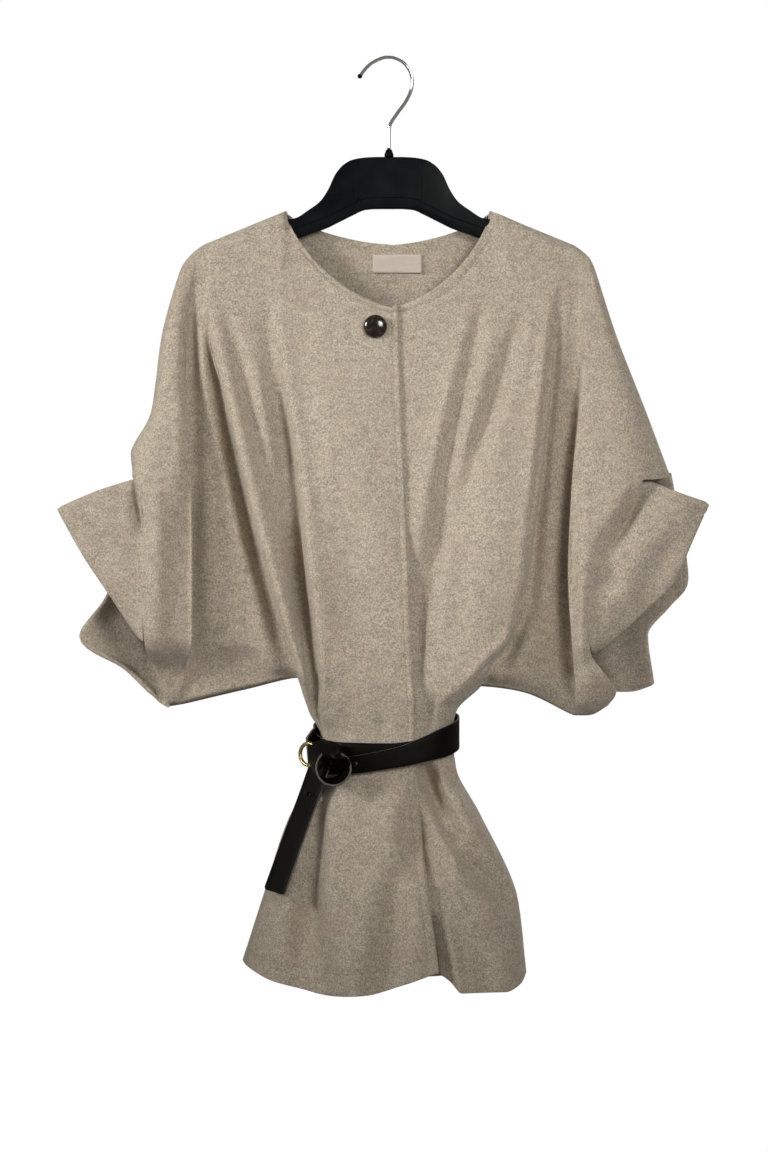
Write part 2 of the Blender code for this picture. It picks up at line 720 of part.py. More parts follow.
def tube(path, radius, sides, flat, closed=False):
    """A round wire along a path that lies in the plane across the direction flat."""
    path = np.asarray(path, float)
    turns = np.linspace(0, 2 * math.pi, sides, endpoint=False)
    sections = []
    for p, t in zip(path, along(path, closed)):
        v = np.cross(t, flat)
        v = v / np.linalg.norm(v)
        sections.append([p + radius * (math.cos(a) * np.asarray(flat) + math.sin(a) * v) for a in turns])
    return loft(sections, closed)


def turned(profile, sides, origin, axis):
    """A round solid from (radius, rise) pairs along an axis that isn't upright."""
    axis = np.asarray(axis, float) / np.linalg.norm(axis)
    u = np.cross((0.0, 0.0, 1.0), axis)
    u = u / np.linalg.norm(u) if np.linalg.norm(u) > 1e-6 else np.array([1.0, 0.0, 0.0])
    v = np.cross(axis, u)
    turns = np.linspace(0, 2 * math.pi, sides, endpoint=False)
    return loft([[origin + axis * h + r * (math.cos(a) * u + math.sin(a) * v) for a in turns] for r, h in profile])


def surface_y(grid, x, z):
    """Depth of a panel's face at a place in the front view."""
    xs, ys = [], []
    for c in range(grid.shape[1]):
        line = grid[::-1, c]
        xs.append(np.interp(z, line[:, 2], line[:, 0]))
        ys.append(np.interp(z, line[:, 2], line[:, 1]))
    order = np.argsort(xs)
    return float(np.interp(x, np.array(xs)[order], np.array(ys)[order]))


def dome(radius, edge, rise):
    """Half profile of a domed disc."""
    profile = [(radius * 0.9, 0.0), (radius, edge * 0.5), (radius * 0.97, edge)]
    for k in range(1, 4):
        a = math.pi / 2 * k / 4
        profile.append((radius * 0.97 * math.cos(a), edge + (rise - edge) * math.sin(a)))
    return profile


def build_button(grid):
    turns = np.linspace(0, 2 * math.pi, 12, endpoint=False)
    under = [surface_y(grid, BUTTON_X + r * math.cos(a), BUTTON_Z + r * math.sin(a))
             for a in turns for r in (0.0, BUTTON_R / 2, BUTTON_R)]
    origin = np.array([BUTTON_X, min(under) - SEAM_GAP, BUTTON_Z])
    return turned(dome(BUTTON_R, BUTTON_EDGE, BUTTON_RISE), BUTTON_SIDES, origin, (0, -1, 0))


def build_label(grid):
    sections = []
    for x in np.linspace(LABEL_MID_X - LABEL_W / 2, LABEL_MID_X + LABEL_W / 2, LABEL_STEPS + 1):
        ring = []
        for z, out in ((0, 0), (-LABEL_H / 2, 0), (-LABEL_H, 0), (-LABEL_H, 1), (-LABEL_H / 2, 1), (0, 1)):
            inside = surface_y(grid, x, LABEL_TOP_Z + z) - CLOTH * 1.05 - SEAM_GAP
            ring.append((x, inside - LABEL_T * out, LABEL_TOP_Z + z))
        sections.append(ring)
    return loft(sections)


def waist_ring(turn, out):
    """A point round the waist, out from the cloth."""
    right, left = side_seams(LEVELS.index("band_top"))
    a = (left - right) / 2 + out
    b = WAIST_DEPTH + out
    c, s = math.cos(math.radians(turn)), math.sin(math.radians(turn))
    r = (abs(c / a) ** BODY_ROUND + abs(s / b) ** BODY_ROUND) ** (-1 / BODY_ROUND)
    return (right + left) / 2 + r * c, r * s


def build_belt(leather, brass):
    up = (0.0, 0.0, 1.0)
    inner = BELT_CLEAR + STRAP_T / 2
    outer = inner + STRAP_T + WRAP_GAP
    first = []
    for turn in np.linspace(0, 360, WRAP_STEPS, endpoint=False):
        x, y = waist_ring(turn, inner)
        first.append((x, y, FIRST_WRAP_Z + FIRST_WRAP_SAG * y / WAIST_DEPTH))
    solid("belt_first_wrap", strap(first, [up] * len(first), [STRAP_W] * len(first), True), leather)
    table = np.array(SECOND_WRAP)
    second = []
    for turn in np.arange(table[0, 0], table[-1, 0] + 0.1, SECOND_WRAP_STEP):
        second.append((*waist_ring(turn, outer), monotone(table[:, 0], table[:, 1], turn)[0]))
    second += STRAP_END
    solid("belt_second_wrap", strap(second, [up] * len(second), [STRAP_W] * len(second)), leather)
    knot = []
    for k in range(KNOT_STEPS + 1):
        share = k / KNOT_STEPS
        a = math.radians(KNOT_FROM + KNOT_TURN * share)
        r = KNOT_R + (KNOT_CORE_R - KNOT_R) * share
        knot.append((KNOT_X + r * math.cos(a), KNOT_BACK_Y - KNOT_W / 2, KNOT_Z + r * math.sin(a)))
    solid("belt_knot", strap(knot, [(0.0, 1.0, 0.0)] * len(knot), [KNOT_W] * len(knot)), leather)
    rows = np.array(TAIL)
    line = through(rows[:, :3], [TAIL_STEPS] * (len(rows) - 1))
    turns = np.interp(line[:, 2][::-1], rows[::-1, 2], rows[::-1, 3])[::-1]
    across = [(math.cos(math.radians(a)), -math.sin(math.radians(a)), 0.0) for a in turns]
    to_end = np.append(np.cumsum(np.linalg.norm(np.diff(line, axis=0), axis=1)[::-1])[::-1], 0.0)
    widths = STRAP_W - 2 * TAIL_ROUND * np.clip(1 - to_end / TAIL_ROUND / 2, 0, 1) ** 2
    solid("belt_tail", strap(line, across, widths), leather)
    yaw = math.radians(RING_YAW)
    side = np.array([math.cos(yaw), math.sin(yaw), 0.0])
    flat = np.array([-math.sin(yaw), math.cos(yaw), 0.0])
    middle = np.array([RING_X, RING_Y, RING_Z])
    ring = [middle + RING_R * (math.cos(a) * side + math.sin(a) * np.array(up))
            for a in np.linspace(0, 2 * math.pi, 24, endpoint=False)]
    solid("belt_ring", tube(ring, RING_WIRE, 8, flat, True), brass)
    x, y = waist_ring(RIVET_TURN, outer + STRAP_T / 2 + SEAM_GAP)
    ahead = np.array(waist_ring(RIVET_TURN + 2, outer)) - np.array(waist_ring(RIVET_TURN - 2, outer))
    axis = (ahead[1], -ahead[0], 0.0)
    solid("belt_rivet", turned(dome(RIVET_R, 0.6, RIVET_RISE), 16, np.array([x, y, RIVET_Z]), axis), brass)


def build_hanger(plastic, chrome):
    rows = [(-x, top, low) for x, top, low in HANGER[:0:-1]] + list(HANGER)
    sections = []
    for x, top, low in rows:
        lip = low + min(HANGER_LIP_H, (top - low) * 0.6)
        sections.append([(x, y, z) for y, z in (
            (-PLATE_T / 2, top), (PLATE_T / 2, top), (PLATE_T / 2, lip), (LIP_T / 2, lip),
            (LIP_T / 2, low), (-LIP_T / 2, low), (-LIP_T / 2, lip), (-PLATE_T / 2, lip))])
    solid("hanger_body", loft(sections), plastic)
    foot = np.array([0.0, 0.0, HANGER[0][1] + SEAM_GAP])
    profile = [(COLLAR_R, 0.0), (COLLAR_R, COLLAR_H * 0.4), (COLLAR_R * 0.6, COLLAR_H)]
    solid("hanger_collar", turned(profile, 20, foot, (0, 0, 1)), plastic)
    line = np.array([(x, 0.0, z) for x, z in HOOK_LINE])
    path = through(line, [HOOK_STEPS] * (len(line) - 1))
    solid("hanger_hook", tube(path, WIRE_R, WIRE_SIDES, (0.0, 1.0, 0.0)), chrome)


def main():
    clear()
    wool = (0.46, 0.40, 0.33)
    right, left, front_grid = build_fronts()
    back, back_grid = build_back()
    solid("front_right", right.wall(), material("wool right front", wool, 0.9))
    solid("front_left", left.wall(), material("wool left front", wool, 0.9))
    solid("back", back.wall(), material("wool back", wool, 0.9))
    solid("button", build_button(front_grid), material("button horn", (0.05, 0.025, 0.015), 0.15))
    solid("label", build_label(back_grid), material("label cotton", (0.75, 0.66, 0.56), 0.8))
    build_belt(material("belt leather", (0.02, 0.016, 0.014), 0.45), material("brass", (0.55, 0.43, 0.2), 0.3, 1.0))
    build_hanger(material("hanger plastic", (0.012, 0.013, 0.014), 0.4), material("chrome", (0.8, 0.8, 0.8), 0.12, 1.0))


main()
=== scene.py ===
"""Dresses the packed poncho in cloth, with its topstitching, button, label, belt and hanger.

Tables are in millimetres, in the object's own frame: +X to the viewer's right, +Z up, the front
towards -Y, and the origin inside the top of the hanger's hook, where it hangs.
"""

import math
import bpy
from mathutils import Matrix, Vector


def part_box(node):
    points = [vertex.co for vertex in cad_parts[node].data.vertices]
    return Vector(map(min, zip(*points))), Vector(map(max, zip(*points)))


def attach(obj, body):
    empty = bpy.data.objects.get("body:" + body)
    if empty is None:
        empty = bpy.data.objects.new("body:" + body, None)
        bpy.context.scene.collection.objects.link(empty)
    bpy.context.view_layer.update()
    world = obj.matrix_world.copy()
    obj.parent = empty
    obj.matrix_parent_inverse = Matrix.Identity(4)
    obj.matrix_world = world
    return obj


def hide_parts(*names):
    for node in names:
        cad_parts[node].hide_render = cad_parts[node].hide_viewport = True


bl_info = {
    "name": "Belted poncho on a hanger",
    "version": (1, 0, 0),
    "blender": (4, 5, 0),
    "location": "View3D > Sidebar > Poncho",
    "description": "Cloth panels, topstitching, button, label, belt and hanger over the packed solids",
    "category": "Object",
}

import bpy
import numpy as np
from bpy.props import FloatProperty, FloatVectorProperty, IntProperty, PointerProperty
from mathutils import Vector, kdtree, noise

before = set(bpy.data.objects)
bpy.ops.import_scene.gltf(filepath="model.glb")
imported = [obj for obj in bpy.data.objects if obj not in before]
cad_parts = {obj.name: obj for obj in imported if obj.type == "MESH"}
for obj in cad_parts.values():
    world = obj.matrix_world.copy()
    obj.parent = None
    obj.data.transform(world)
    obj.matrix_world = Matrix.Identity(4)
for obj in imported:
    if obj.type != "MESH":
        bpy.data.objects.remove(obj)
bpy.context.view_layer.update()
MM = 0.001

UP = (0.0, 0.0, 1.0)
# Differences that don't count, and the least length to divide by.
NEAR = 1e-6
TINY = 1e-9
# Which way is out of the cloth, along Y.
OUTWARD = {"front": -1.0, "back": 1.0}

# Space left at a seam, how near a point is that counts as on it, and how far off one is free of it.
SEAM_GAP = 0.04
SEAM_NEAR = 0.01
SEAM_FREE = 0.05
# Space under a piece that rests on another.
REST_GAP = 0.3
# The left front's lap: its space under the right front, the first step beside it, how far from the
# middle it is kept behind, the slope of its cover between points, how many points are looked at, and
# the columns over which the neck edge eases into its own curve.
LAP_SPACE = 0.7
LAP_STEP = (5.0, 0.6, 0.0)
LAP_ZONE = 75.0
LAP_SLOPE = 0.3
LAP_NEAR = 24
LAP_EASE = 8

# Neck and shoulders.
NECK_RIGHT_X = -113.0
NECK_LEFT_X = 111.0
NECK_Z = -167.0
FRONT_NECK_X = 8.0
RIGHT_NECK_DROP = 110.0
LEFT_NECK_DROP = 106.0
BACK_NECK_DROP = 38.0
NECK_ROUND = 1.55
SHOULDER_SLOPE = 0.41
SHOULDER_TIP_X = 200.0
SHOULDER_TIP_DROP = 0.018
ARCH_DROP = 9.0
ARCH_SHARE = 0.16

# Levels down the garment, and the height of each. The ridge, the underarm edge and the hem are curves.
LEVELS = ("ridge", "arch", "yoke", "chest", "elbow", "flank", "cuff", "brim",
          "under", "band_top", "belt_line", "band_low", "hip", "thigh", "hem")
LEVEL_Z = {"yoke": -304.0, "chest": -386.0, "elbow": -463.0, "flank": -568.0, "cuff": -639.0,
           "brim": -672.0, "under": -694.0, "band_top": -718.0, "belt_line": -744.0, "band_low": -780.0,
           "hip": -832.0, "thigh": -925.0}
# The sleeves roll under above the underarm edge: how far above, and the share of the depth kept there.
BRIM_RISE = {"right": 38.0, "left": 15.0}
BRIM_SHARE = {"right": 0.28, "left": 0.5}
WING_BRIM_GAIN = 0.85
ARCH = LEVELS.index("arch")
YOKE = LEVELS.index("yoke")
ELBOW = LEVELS.index("elbow")
UNDER = LEVELS.index("under")
THIGH = LEVELS.index("thigh")

# How far the cloth stands from the middle plane at each height.
DEPTH = (
    # height, front, back
    (-167.0, 10.0, 10.0),
    (-205.0, 13.0, 14.0),
    (-260.0, 21.0, 21.0),
    (-304.0, 28.0, 27.0),
    (-386.0, 43.0, 39.0),
    (-463.0, 53.0, 48.0),
    (-568.0, 61.0, 56.0),
    (-639.0, 62.0, 57.5),
    (-694.0, 56.5, 54.0),
    (-718.0, 53.5, 52.0),
    (-744.0, 50.0, 50.0),
    (-788.0, 50.0, 50.0),
    (-832.0, 60.0, 62.0),
    (-925.0, 76.0, 80.0),
    (-1030.0, 84.0, 90.0),
)
WAIST_DEPTH = 50.0
# How squarely the body rounds to its side seams, fuller where the cloth blouses over the belt.
BODY_ROUND = 2.4
BLOUSE_ROUND = {"under": 3.6, "band_top": 2.9}

# How strongly the folds show at each level.
FOLD_GAIN = {"ridge": 0.0, "arch": 0.0, "yoke": 0.45, "chest": 0.85, "elbow": 1.0, "flank": 1.0,
             "cuff": 1.0, "brim": 0.9, "under": 0.8, "band_top": 0.6, "belt_line": 0.45, "band_low": 0.45,
             "hip": 0.8, "thigh": 1.0, "hem": 1.0}

# Fold lines of the fronts: distance across at each level, the share of the depth that the fold
# keeps above the underarm, and how far it sinks below it.
BODY_COLUMNS = ("ridge", "yoke", "chest", "elbow", "flank", "cuff", "under", "band_top", "belt_line",
                "band_low", "hip", "thigh", "hem")
RIGHT_BODY = {
    # fold: distance across in each of BODY_COLUMNS, then the share above and the sink below
    "edge": (8, 9, 12, 15, 19, 22, 25, 26, 26, 26, 31, 42, 53, 0.88, 0.02),
    "chest": (-48, -46, -43, -40, -34, -30, -26, -23, -20, -20, -22, -23, -20, 1.00, 0.00),
    "neck bend": (-106, -108, -95, -83, -72, -66, -60, -54, -47, -47, -54, -66, -73, 1.00, 0.00),
    "inner crest": (-113, -118, -107, -95, -85, -78, -73, -66, -57, -57, -64, -75, -82, 1.00, 0.00),
    "soft trough": (-140, -132, -119, -107, -98, -91, -85, -78, -66, -66, -80, -94, -102, 0.70, 0.18),
    "narrow crest": (-178, -184, -166, -149, -124, -101, -89, -82, -71, -71, -94, -116, -128, 0.98, 0.00),
    "body fold": (-195, -197, -175, -159, -133, -110, -95, -86, -74, -74, -105, -134, -153, 0.84, 0.00),
    "body tuck": (-199, -198, -168, -148, -121, -99, -99, -88, -76, -76, -109, -140, -161, 0.34, 0.00),
}
LEFT_BODY = {
    # fold: distance across in each of BODY_COLUMNS, then the share above and the sink below
    "edge trough": (60, 78, 59, 44, 35, 33, 35, 36, 37, 37, 44, 57, 70, 0.81, 0.14),
    "thin crest": (92, 103, 83, 58, 44, 41, 42, 42, 42, 42, 53, 73, 90, 0.83, 0.12),
    "neck bend": (105, 125, 101, 69, 51, 47, 47, 46, 45, 45, 58, 84, 104, 0.78, 0.11),
    "chest trough": (111, 130, 106, 73, 54, 50, 50, 48, 47, 47, 62, 88, 108, 0.78, 0.10),
    "broad crest": (150, 157, 139, 122, 103, 89, 69, 60, 55, 57, 77, 113, 128, 1.00, 0.00),
    "body fold": (196, 179, 170, 161, 147, 127, 84, 69, 67, 70, 97, 136, 145, 0.88, 0.00),
    "body tuck": (200, 187, 178, 169, 152, 122, 101, 74, 70, 74, 101, 142, 151, 0.36, 0.00),
}
WING_COLUMNS = ("ridge", "yoke", "chest", "elbow", "flank", "cuff", "brim", "under")
RIGHT_WING = {
    # fold: distance across in each of WING_COLUMNS, then the share above
    "recess": (-203, -213, -197, -188, -174, -165, -161, -157, 0.22),
    "sleeve tuck": (-207, -219, -224, -229, -231, -229, -227, -227, 0.24),
    "sleeve fold": (-211, -223, -219, -216, -214, -214, -224, -231, 0.70),
    "sleeve crest": (-215, -233, -235, -246, -245, -247, -241, -236, 0.86),
    "sleeve edge": (-219, -241, -251, -275, -260, -265, -254, -241, 0.78),
}
LEFT_WING = {
    # fold: distance across in each of WING_COLUMNS, then the share above
    "recess": (204, 202, 196, 186, 174, 167, 159, 152, 0.24),
    "sleeve tuck": (207, 210, 207, 203, 199, 202, 203, 203, 0.32),
    "sleeve fold": (210, 214, 208, 200, 195, 199, 206, 208, 0.71),
    "sleeve crest": (213, 227, 234, 233, 210, 208, 227, 224, 0.88),
    "sleeve edge": (216, 240, 264, 276, 224, 216, 248, 241, 0.78),
}
WINGS = {"right": RIGHT_WING, "left": LEFT_WING}

# Top fold of each sleeve, from the hanger's tip to the cuff.
SLEEVE_TOP_COLUMNS = ("ridge", "yoke", "chest", "elbow")
SLEEVE_TOP = {"right": (-226, -250, -261, -282), "left": (220, 250, 282, 309)}
SLEEVE_TOP_ROUND = 0.16
SLEEVE_TOP_RISE = 5.0
# The right sleeve bulges out over its turned-back end: how far, and the levels where it starts and stops.
ELBOW_BULGE = (10.5, 3.05, 3.6, 4.0)

# Underarm edge and hem, as (across, height).
UNDERARM = {
    "right": ((-241, -712), (-223, -709), (-186, -702), (-131, -686), (-99, -681)),
    "left": ((101, -690), (112, -688), (121, -682), (150, -697), (178, -707), (206, -722), (224, -721),
             (241, -711)),
}
HEM = {
    "right": ((-161, -991), (-130, -1006), (-96, -1015), (-60, -1022), (-24, -1021), (17, -1009),
              (53, -997)),
    "left": ((53, -995), (63, -1003), (79, -1020), (128, -1020), (144, -1013), (151, -1004)),
    "back": ((-161, -991), (-90, -1010), (0, -1016), (90, -1014), (151, -1004)),
}

# Sleeve ends: the cloth beyond the sleeve's edge, from the cuff opening down, a row for each section.
SLEEVE_ENDS = {
    # level, tuck across, tuck depth, middle across, height, depth, tip across, height, depth
    ("right", "front"): (
        (4.0, -277, 27, -320, -477, 36, -361, -496, 30),
        (4.5, -270, 36, -304, -526, 42, -339, -534, 34),
        (5.0, -268, 44, -292, -570, 44, -319, -567, 36),
        (5.5, -268, 44, -279, -602, 41, -297, -600, 35),
        (6.0, -267, 44, -270, -637, 41, -276, -632, 36),
    ),
    ("left", "front"): (
        (4.0, 278, 27, 314, -478, 38, 348, -491, 30),
        (4.5, 256, 39, 290, -520, 43, 327, -537, 32),
        (5.0, 231, 45, 268, -566, 46, 309, -576, 34),
        (5.5, 221, 46, 246, -604, 44, 276, -609, 34),
        (6.0, 217, 44, 221, -649, 40, 225, -655, 33),
    ),
    ("right", "back"): (
        (4.0, -279, 32, -288, -470, 27, -298, -478, 20),
        (5.0, -268, 38, -288, -574, 32, -308, -580, 22),
        (6.0, -272, 31, -306, -638, 25, -340, -636, 18),
        (7.0, -256, 21, -272, -682, 19, -292, -672, 14),
        (8.0, -243, 3, -252, -708, 8, -266, -696, 10),
    ),
    ("left", "back"): (
        (4.0, 283, 36, 296, -458, 33, 311, -456, 27),
        (5.0, 238, 38, 282, -572, 32, 329, -572, 20),
        (5.5, 234, 38, 272, -606, 35, 309, -602, 28),
        (6.0, 232, 36, 258, -640, 31, 285, -634, 22),
        (7.0, 254, 22, 272, -695, 19, 291, -687, 12),
    ),
}

# Back folds, from the middle out: the share of the way to the body fold, the share of the depth
# kept above the underarm and the sink below it.
BACK_FOLDS = {
    # fold: share, above, below
    "middle crest": (0.00, 1.00, 0.00),
    "quarter trough": (0.23, 0.80, 0.16),
    "neck bend": (0.42, 0.99, 0.01),
    "neck corner": (0.46, 1.00, 0.00),
    "side trough": (0.66, 0.76, 0.16),
    "side crest": (0.84, 0.96, 0.00),
    "body fold": (1.00, 0.86, 0.00),
    "body tuck": (None, 0.36, 0.00),
}
BACK_NECK_LINES = {
    # fold: inside the neck corner by, distance across at the yoke
    "neck bend": (6.0, 104.0),
    "neck corner": (0.0, 111.0),
}

# Rows between two levels, and across each stretch between two fold lines.
LEVEL_ROWS = {"ridge": 6, "arch": 16, "yoke": 13, "chest": 12, "elbow": 16, "flank": 12, "cuff": 7,
              "brim": 6, "under": 7, "band_top": 7, "belt_line": 6, "band_low": 9, "hip": 14, "thigh": 18}
RIGHT_ACROSS = (16, 16, 4, 12, 12, 12, 8)
LEFT_ACROSS = (3, 12, 12, 6, 4, 12, 12, 8)
BACK_ACROSS = (12, 12, 4, 12, 12, 12, 8)
WING_ACROSS = (12, 12, 8, 12, 12)
TOP_ACROSS = (8, 8)
END_ACROSS = (8, 12, 12)
LAP_SHARE = 0.67
# Lines before the neck's corner, where the neck edge bends into the shoulder.
RIGHT_BEND = 2
LEFT_BEND = 4
BACK_BEND = 2

# Sewn lines: the stretch they lie in, the share of it, and the share over which they sink in.
SEWN_ROWS = {"ridge": (0.78, 0.18), "elbow": (0.10, 0.015), "thigh": (0.76, 0.016)}
EDGE_SEAM = (0.105, 0.022)
# The front edge and the hem are pressed flatter than the neck band, which stands up on the right front.
EDGE_GAIN = 0.5
HEM_GAIN = 0.2
NECK_GAIN = {"right": 3.0, "left": 1.0}
# A sewn line in shares of its reach: the clear space round it, where its band ends, its groove's width.
SEWN_CLEAR = 1.6
SEWN_BAND_END = 0.4
SEWN_GROOVE = 0.55
# Columns over which the neck's band fades before the corner, and the share over which the cuff's does.
NECK_SEAM_FADE = 6
CUFF_SEAM_FADE = 0.2
# Columns without stitches: before the neck's corner, at a side seam, beside the lap, and under it
# at the hem.
NECK_FREE = 3
SIDE_FREE = 2
LAP_FREE = 4
HEM_FREE = 8
STITCH_FORM = (
    # share along the stitch, then width and lift in radiuses of the thread
    (-0.5, 0.35, -0.15),
    (-0.3, 0.90, 0.35),
    (0.0, 1.00, 0.50),
    (0.3, 0.90, 0.35),
    (0.5, 0.35, -0.15),
)
STITCH_SIDES = 6
# Length looked ahead and behind for a stitch's direction.
STITCH_LOOK = 0.6

# Creases of the fronts.
FRONT_CREASES = (
    # from across, height, to across, height, half width, depth, bow
    (-206, -262, -98, -706, 7, 8.0, 9),
    (-135, -270, -83, -690, 11, 8.5, 0),
    (-180, -272, -104, -572, 8, 7.0, 0),
    (-110, -490, -87, -670, 8, 6.5, 0),
    (-216, -270, -213, -660, 9, 4.0, 0),
    (-213, -236, -220, -380, 9, 5.0, 0),
    (-227, -460, -231, -690, 17, 8.0, 0),
    (-96, -330, -70, -560, 24, 3.0, 9),
    (-60, -430, -34, -690, 22, 3.2, -7),
    (106, -262, 36, -668, 10, 8.5, 10),
    (150, -268, 52, -560, 10, 5.5, 0),
    (186, -262, 150, -630, 7, 9.0, 0),
    (204, -440, 196, -680, 9, 4.0, 4),
    (104, -420, 66, -690, 17, 2.0, 6),
    (-84, -636, -77, -750, 6, 6.0, 0),
    (-40, -752, -46, -700, 9, 2.4, -2),
    (-8, -752, -12, -690, 10, 2.0, 3),
    (40, -742, 52, -686, 8, 3.2, -2),
    (62, -730, 96, -688, 9, 4.6, 2),
    (-26, -788, -14, -900, 12, 3.0, 3),
    (40, -772, 34, -905, 20, 11.0, 0),
    (-80, -800, -86, -955, 11, 7.5, -3),
    (-98, -812, -122, -940, 13, 3.4, 4),
    (-92, -886, -70, -1066, 17, 11.0, 0),
    (8, -884, -12, -1066, 16, 10.0, 0),
    (-276, -466, -258, -534, 9, 5.0, 3),
    (-346, -506, -300, -560, 14, 2.6, -4),
    (274, -468, 228, -550, 10, 5.4, -4),
    (318, -520, 272, -600, 14, 3.0, 4),
    (228, -584, 250, -562, 13, 4.0, 0),
    (-158, -560, -150, -690, 10, 2.4, 3),
    (192, -676, 236, -652, 8, 6.0, 0),
    (148, -634, 84, -714, 7, 11.0, 6),
    (151, -606, 122, -684, 6, 8.0, 0),
)
# Creases of the left front alone, close to the lap.
LEFT_CREASES = (
    # from across, height, to across, height, half width, depth, bow
    (24, -520, 27, -750, 17, 7.0, 0),
    (33, -762, 76, -864, 11, 16.0, 0),
    (66, -842, 144, -930, 14, 15.0, 6),
    (31, -796, 50, -970, 8, 6.0, 0),
    (46, -930, 66, -1060, 9, 15.0, 0),
)
# Creases of the back.
BACK_CREASES = (
    # from across, height, to across, height, half width, depth, bow
    (-186, -250, -118, -640, 15, 4.4, 9),
    (-112, -276, -58, -690, 17, 3.6, 7),
    (-222, -290, -200, -640, 12, 3.4, -5),
    (-30, -330, -18, -660, 22, 2.6, 6),
    (42, -360, 26, -690, 20, 2.6, -6),
    (118, -280, 54, -700, 16, 3.8, -8),
    (190, -262, 130, -630, 14, 4.2, -7),
    (226, -300, 205, -650, 12, 3.4, 5),
    (-52, -748, -64, -684, 8, 3.2, 2),
    (-14, -750, -17, -670, 9, 2.8, -2),
    (24, -750, 30, -676, 8, 3.0, 2),
    (52, -744, 72, -690, 8, 3.2, -2),
    (-44, -784, -62, -900, 11, 3.6, 4),
    (4, -786, 6, -900, 12, 3.2, -4),
    (46, -780, 72, -900, 11, 3.4, 4),
    (-88, -820, -108, -970, 15, 3.0, -5),
    (86, -830, 106, -970, 15, 3.0, 5),
    (-252, -500, -240, -600, 12, 2.8, 3),
    (246, -490, 226, -600, 12, 2.8, -3),
)
# How much a crease lifts the cloth beside it, and how far beside.
CREASE_RIDGE = 0.36
CREASE_RIDGE_AT = 1.7
# Creases and swells fade out where the cloth turns under a fold, by how squarely it faces out.
CREASE_FACING = (0.25, 0.7)
# A crease fades to its ends by this power of a half wave, and widens along its run by these shares.
CREASE_FADE = 0.7
CREASE_WIDEN = (0.8, 0.4)
# Share of the cloth's own direction in the way that a crease moves it. The rest is straight out.
CREASE_LEAN = 0.35

# Share of the way to its neighbours' mean that a point goes in a round of softening.
SOFTEN_SHARE = 0.5
# Rounds of evening out the directions out of the cloth, for its outer face and for its thickness.
OUTER_EASE = 2
INNER_EASE = 10
# Turns of the round at a free edge, in degrees from the outer face to the inner one.
RIM_TURNS = (45.0, 90.0, 135.0)
# The turned-back cuffs: how much fuller the cloth is at their edge, and the share over which it thins.
CUFF_FULL = 2.6
CUFF_SHARE = 0.35

# Uneven ground of the cloth: size of the swells and their height.
SWELLS = ((74.0, 1.6), (31.0, 0.8), (13.0, 0.2))
# The belt's reach on the cloth, where it can only give way inwards, and how far beyond it that fades.
BELT_REACH = (-798.0, -712.0)
BELT_FADE = 14.0
# No swell or crease close to a seam or above these heights at the neck.
SEAM_FADE = 7.0
NECK_FADE = (-238.0, -290.0)

# Button.
BUTTON_X = -15.0
BUTTON_Z = -296.0
BUTTON_R = 13.0
BUTTON_RISE = 7.0
BUTTON_EDGE = 2.4
BUTTON_STEPS = 14
BUTTON_SIDES = 56
# Rim of a domed disc, in shares of its radius and of its edge's height, then its shoulder and its tip.
DOME_RIM = ((0.9, 0.0), (0.97, 0.12), (1.0, 0.45), (0.985, 0.8))
DOME_SHOULDER = 0.97
DOME_TIP = 0.01

# Label inside the back neck.
LABEL_MID_X = 9.0
LABEL_W = 54.0
LABEL_T = 0.9
LABEL_COLUMNS = 29
LABEL_ROWS = 11
# Points of the back looked at for the label's depth.
LABEL_NEAR = 6
# Its lower corners curl off the cloth: how far, and from which share down and out to which.
LABEL_CURL = 0.7
LABEL_CURL_DOWN = (0.5, 1.0)
LABEL_CURL_OUT = (0.7, 1.0)

# Belt: one strap, wound about twice.
STRAP_W = 33.0
STRAP_T = 2.6
BELT_CLEAR = 1.3
WRAP_GAP = 1.0
# How far the strap's middle lies from the waist, in the first wrap and in the second.
FIRST_OUT = BELT_CLEAR + STRAP_T / 2
SECOND_OUT = FIRST_OUT + STRAP_T + WRAP_GAP
# A strap's section: the outer points of its faces, how far its corners are cut, how many sides it has,
# and those that show the cut edge of the leather.
STRAP_FACE = 0.55
STRAP_CORNER = 0.3
STRAP_SIDES = 18
CUT_SIDES = (5, 6, 7, 14, 15, 16)
FIRST_WRAP = (
    # turn in degrees from the viewer's right, the front at -90, height of the strap's middle, width
    (-180.0, -758.0, 33.0),
    (-141.0, -765.0, 31.0),
    (-90.0, -764.0, 27.0),
    (-50.0, -758.0, 24.0),
    (-15.0, -747.0, 25.0),
    (20.0, -741.0, 27.0),
    (90.0, -746.0, 33.0),
    (180.0, -758.0, 33.0),
)
FIRST_WRAP_STEPS = 180
SECOND_WRAP = (
    # turn in degrees from the viewer's right, the front at -90, height of the strap's middle, width
    (-141.0, -775.5, 19.0),
    (-124.0, -774.0, 19.5),
    (-90.0, -768.0, 21.0),
    (-72.0, -764.5, 22.5),
    (-50.0, -757.0, 27.0),
    (-32.0, -750.0, 32.0),
    (-15.0, -744.0, 33.0),
    (20.0, -736.0, 33.0),
    (90.0, -734.0, 33.0),
    (150.0, -743.0, 33.0),
    (188.0, -751.0, 33.0),
)
SECOND_WRAP_STEP = 7.0
SECOND_WRAP_FINE = 4
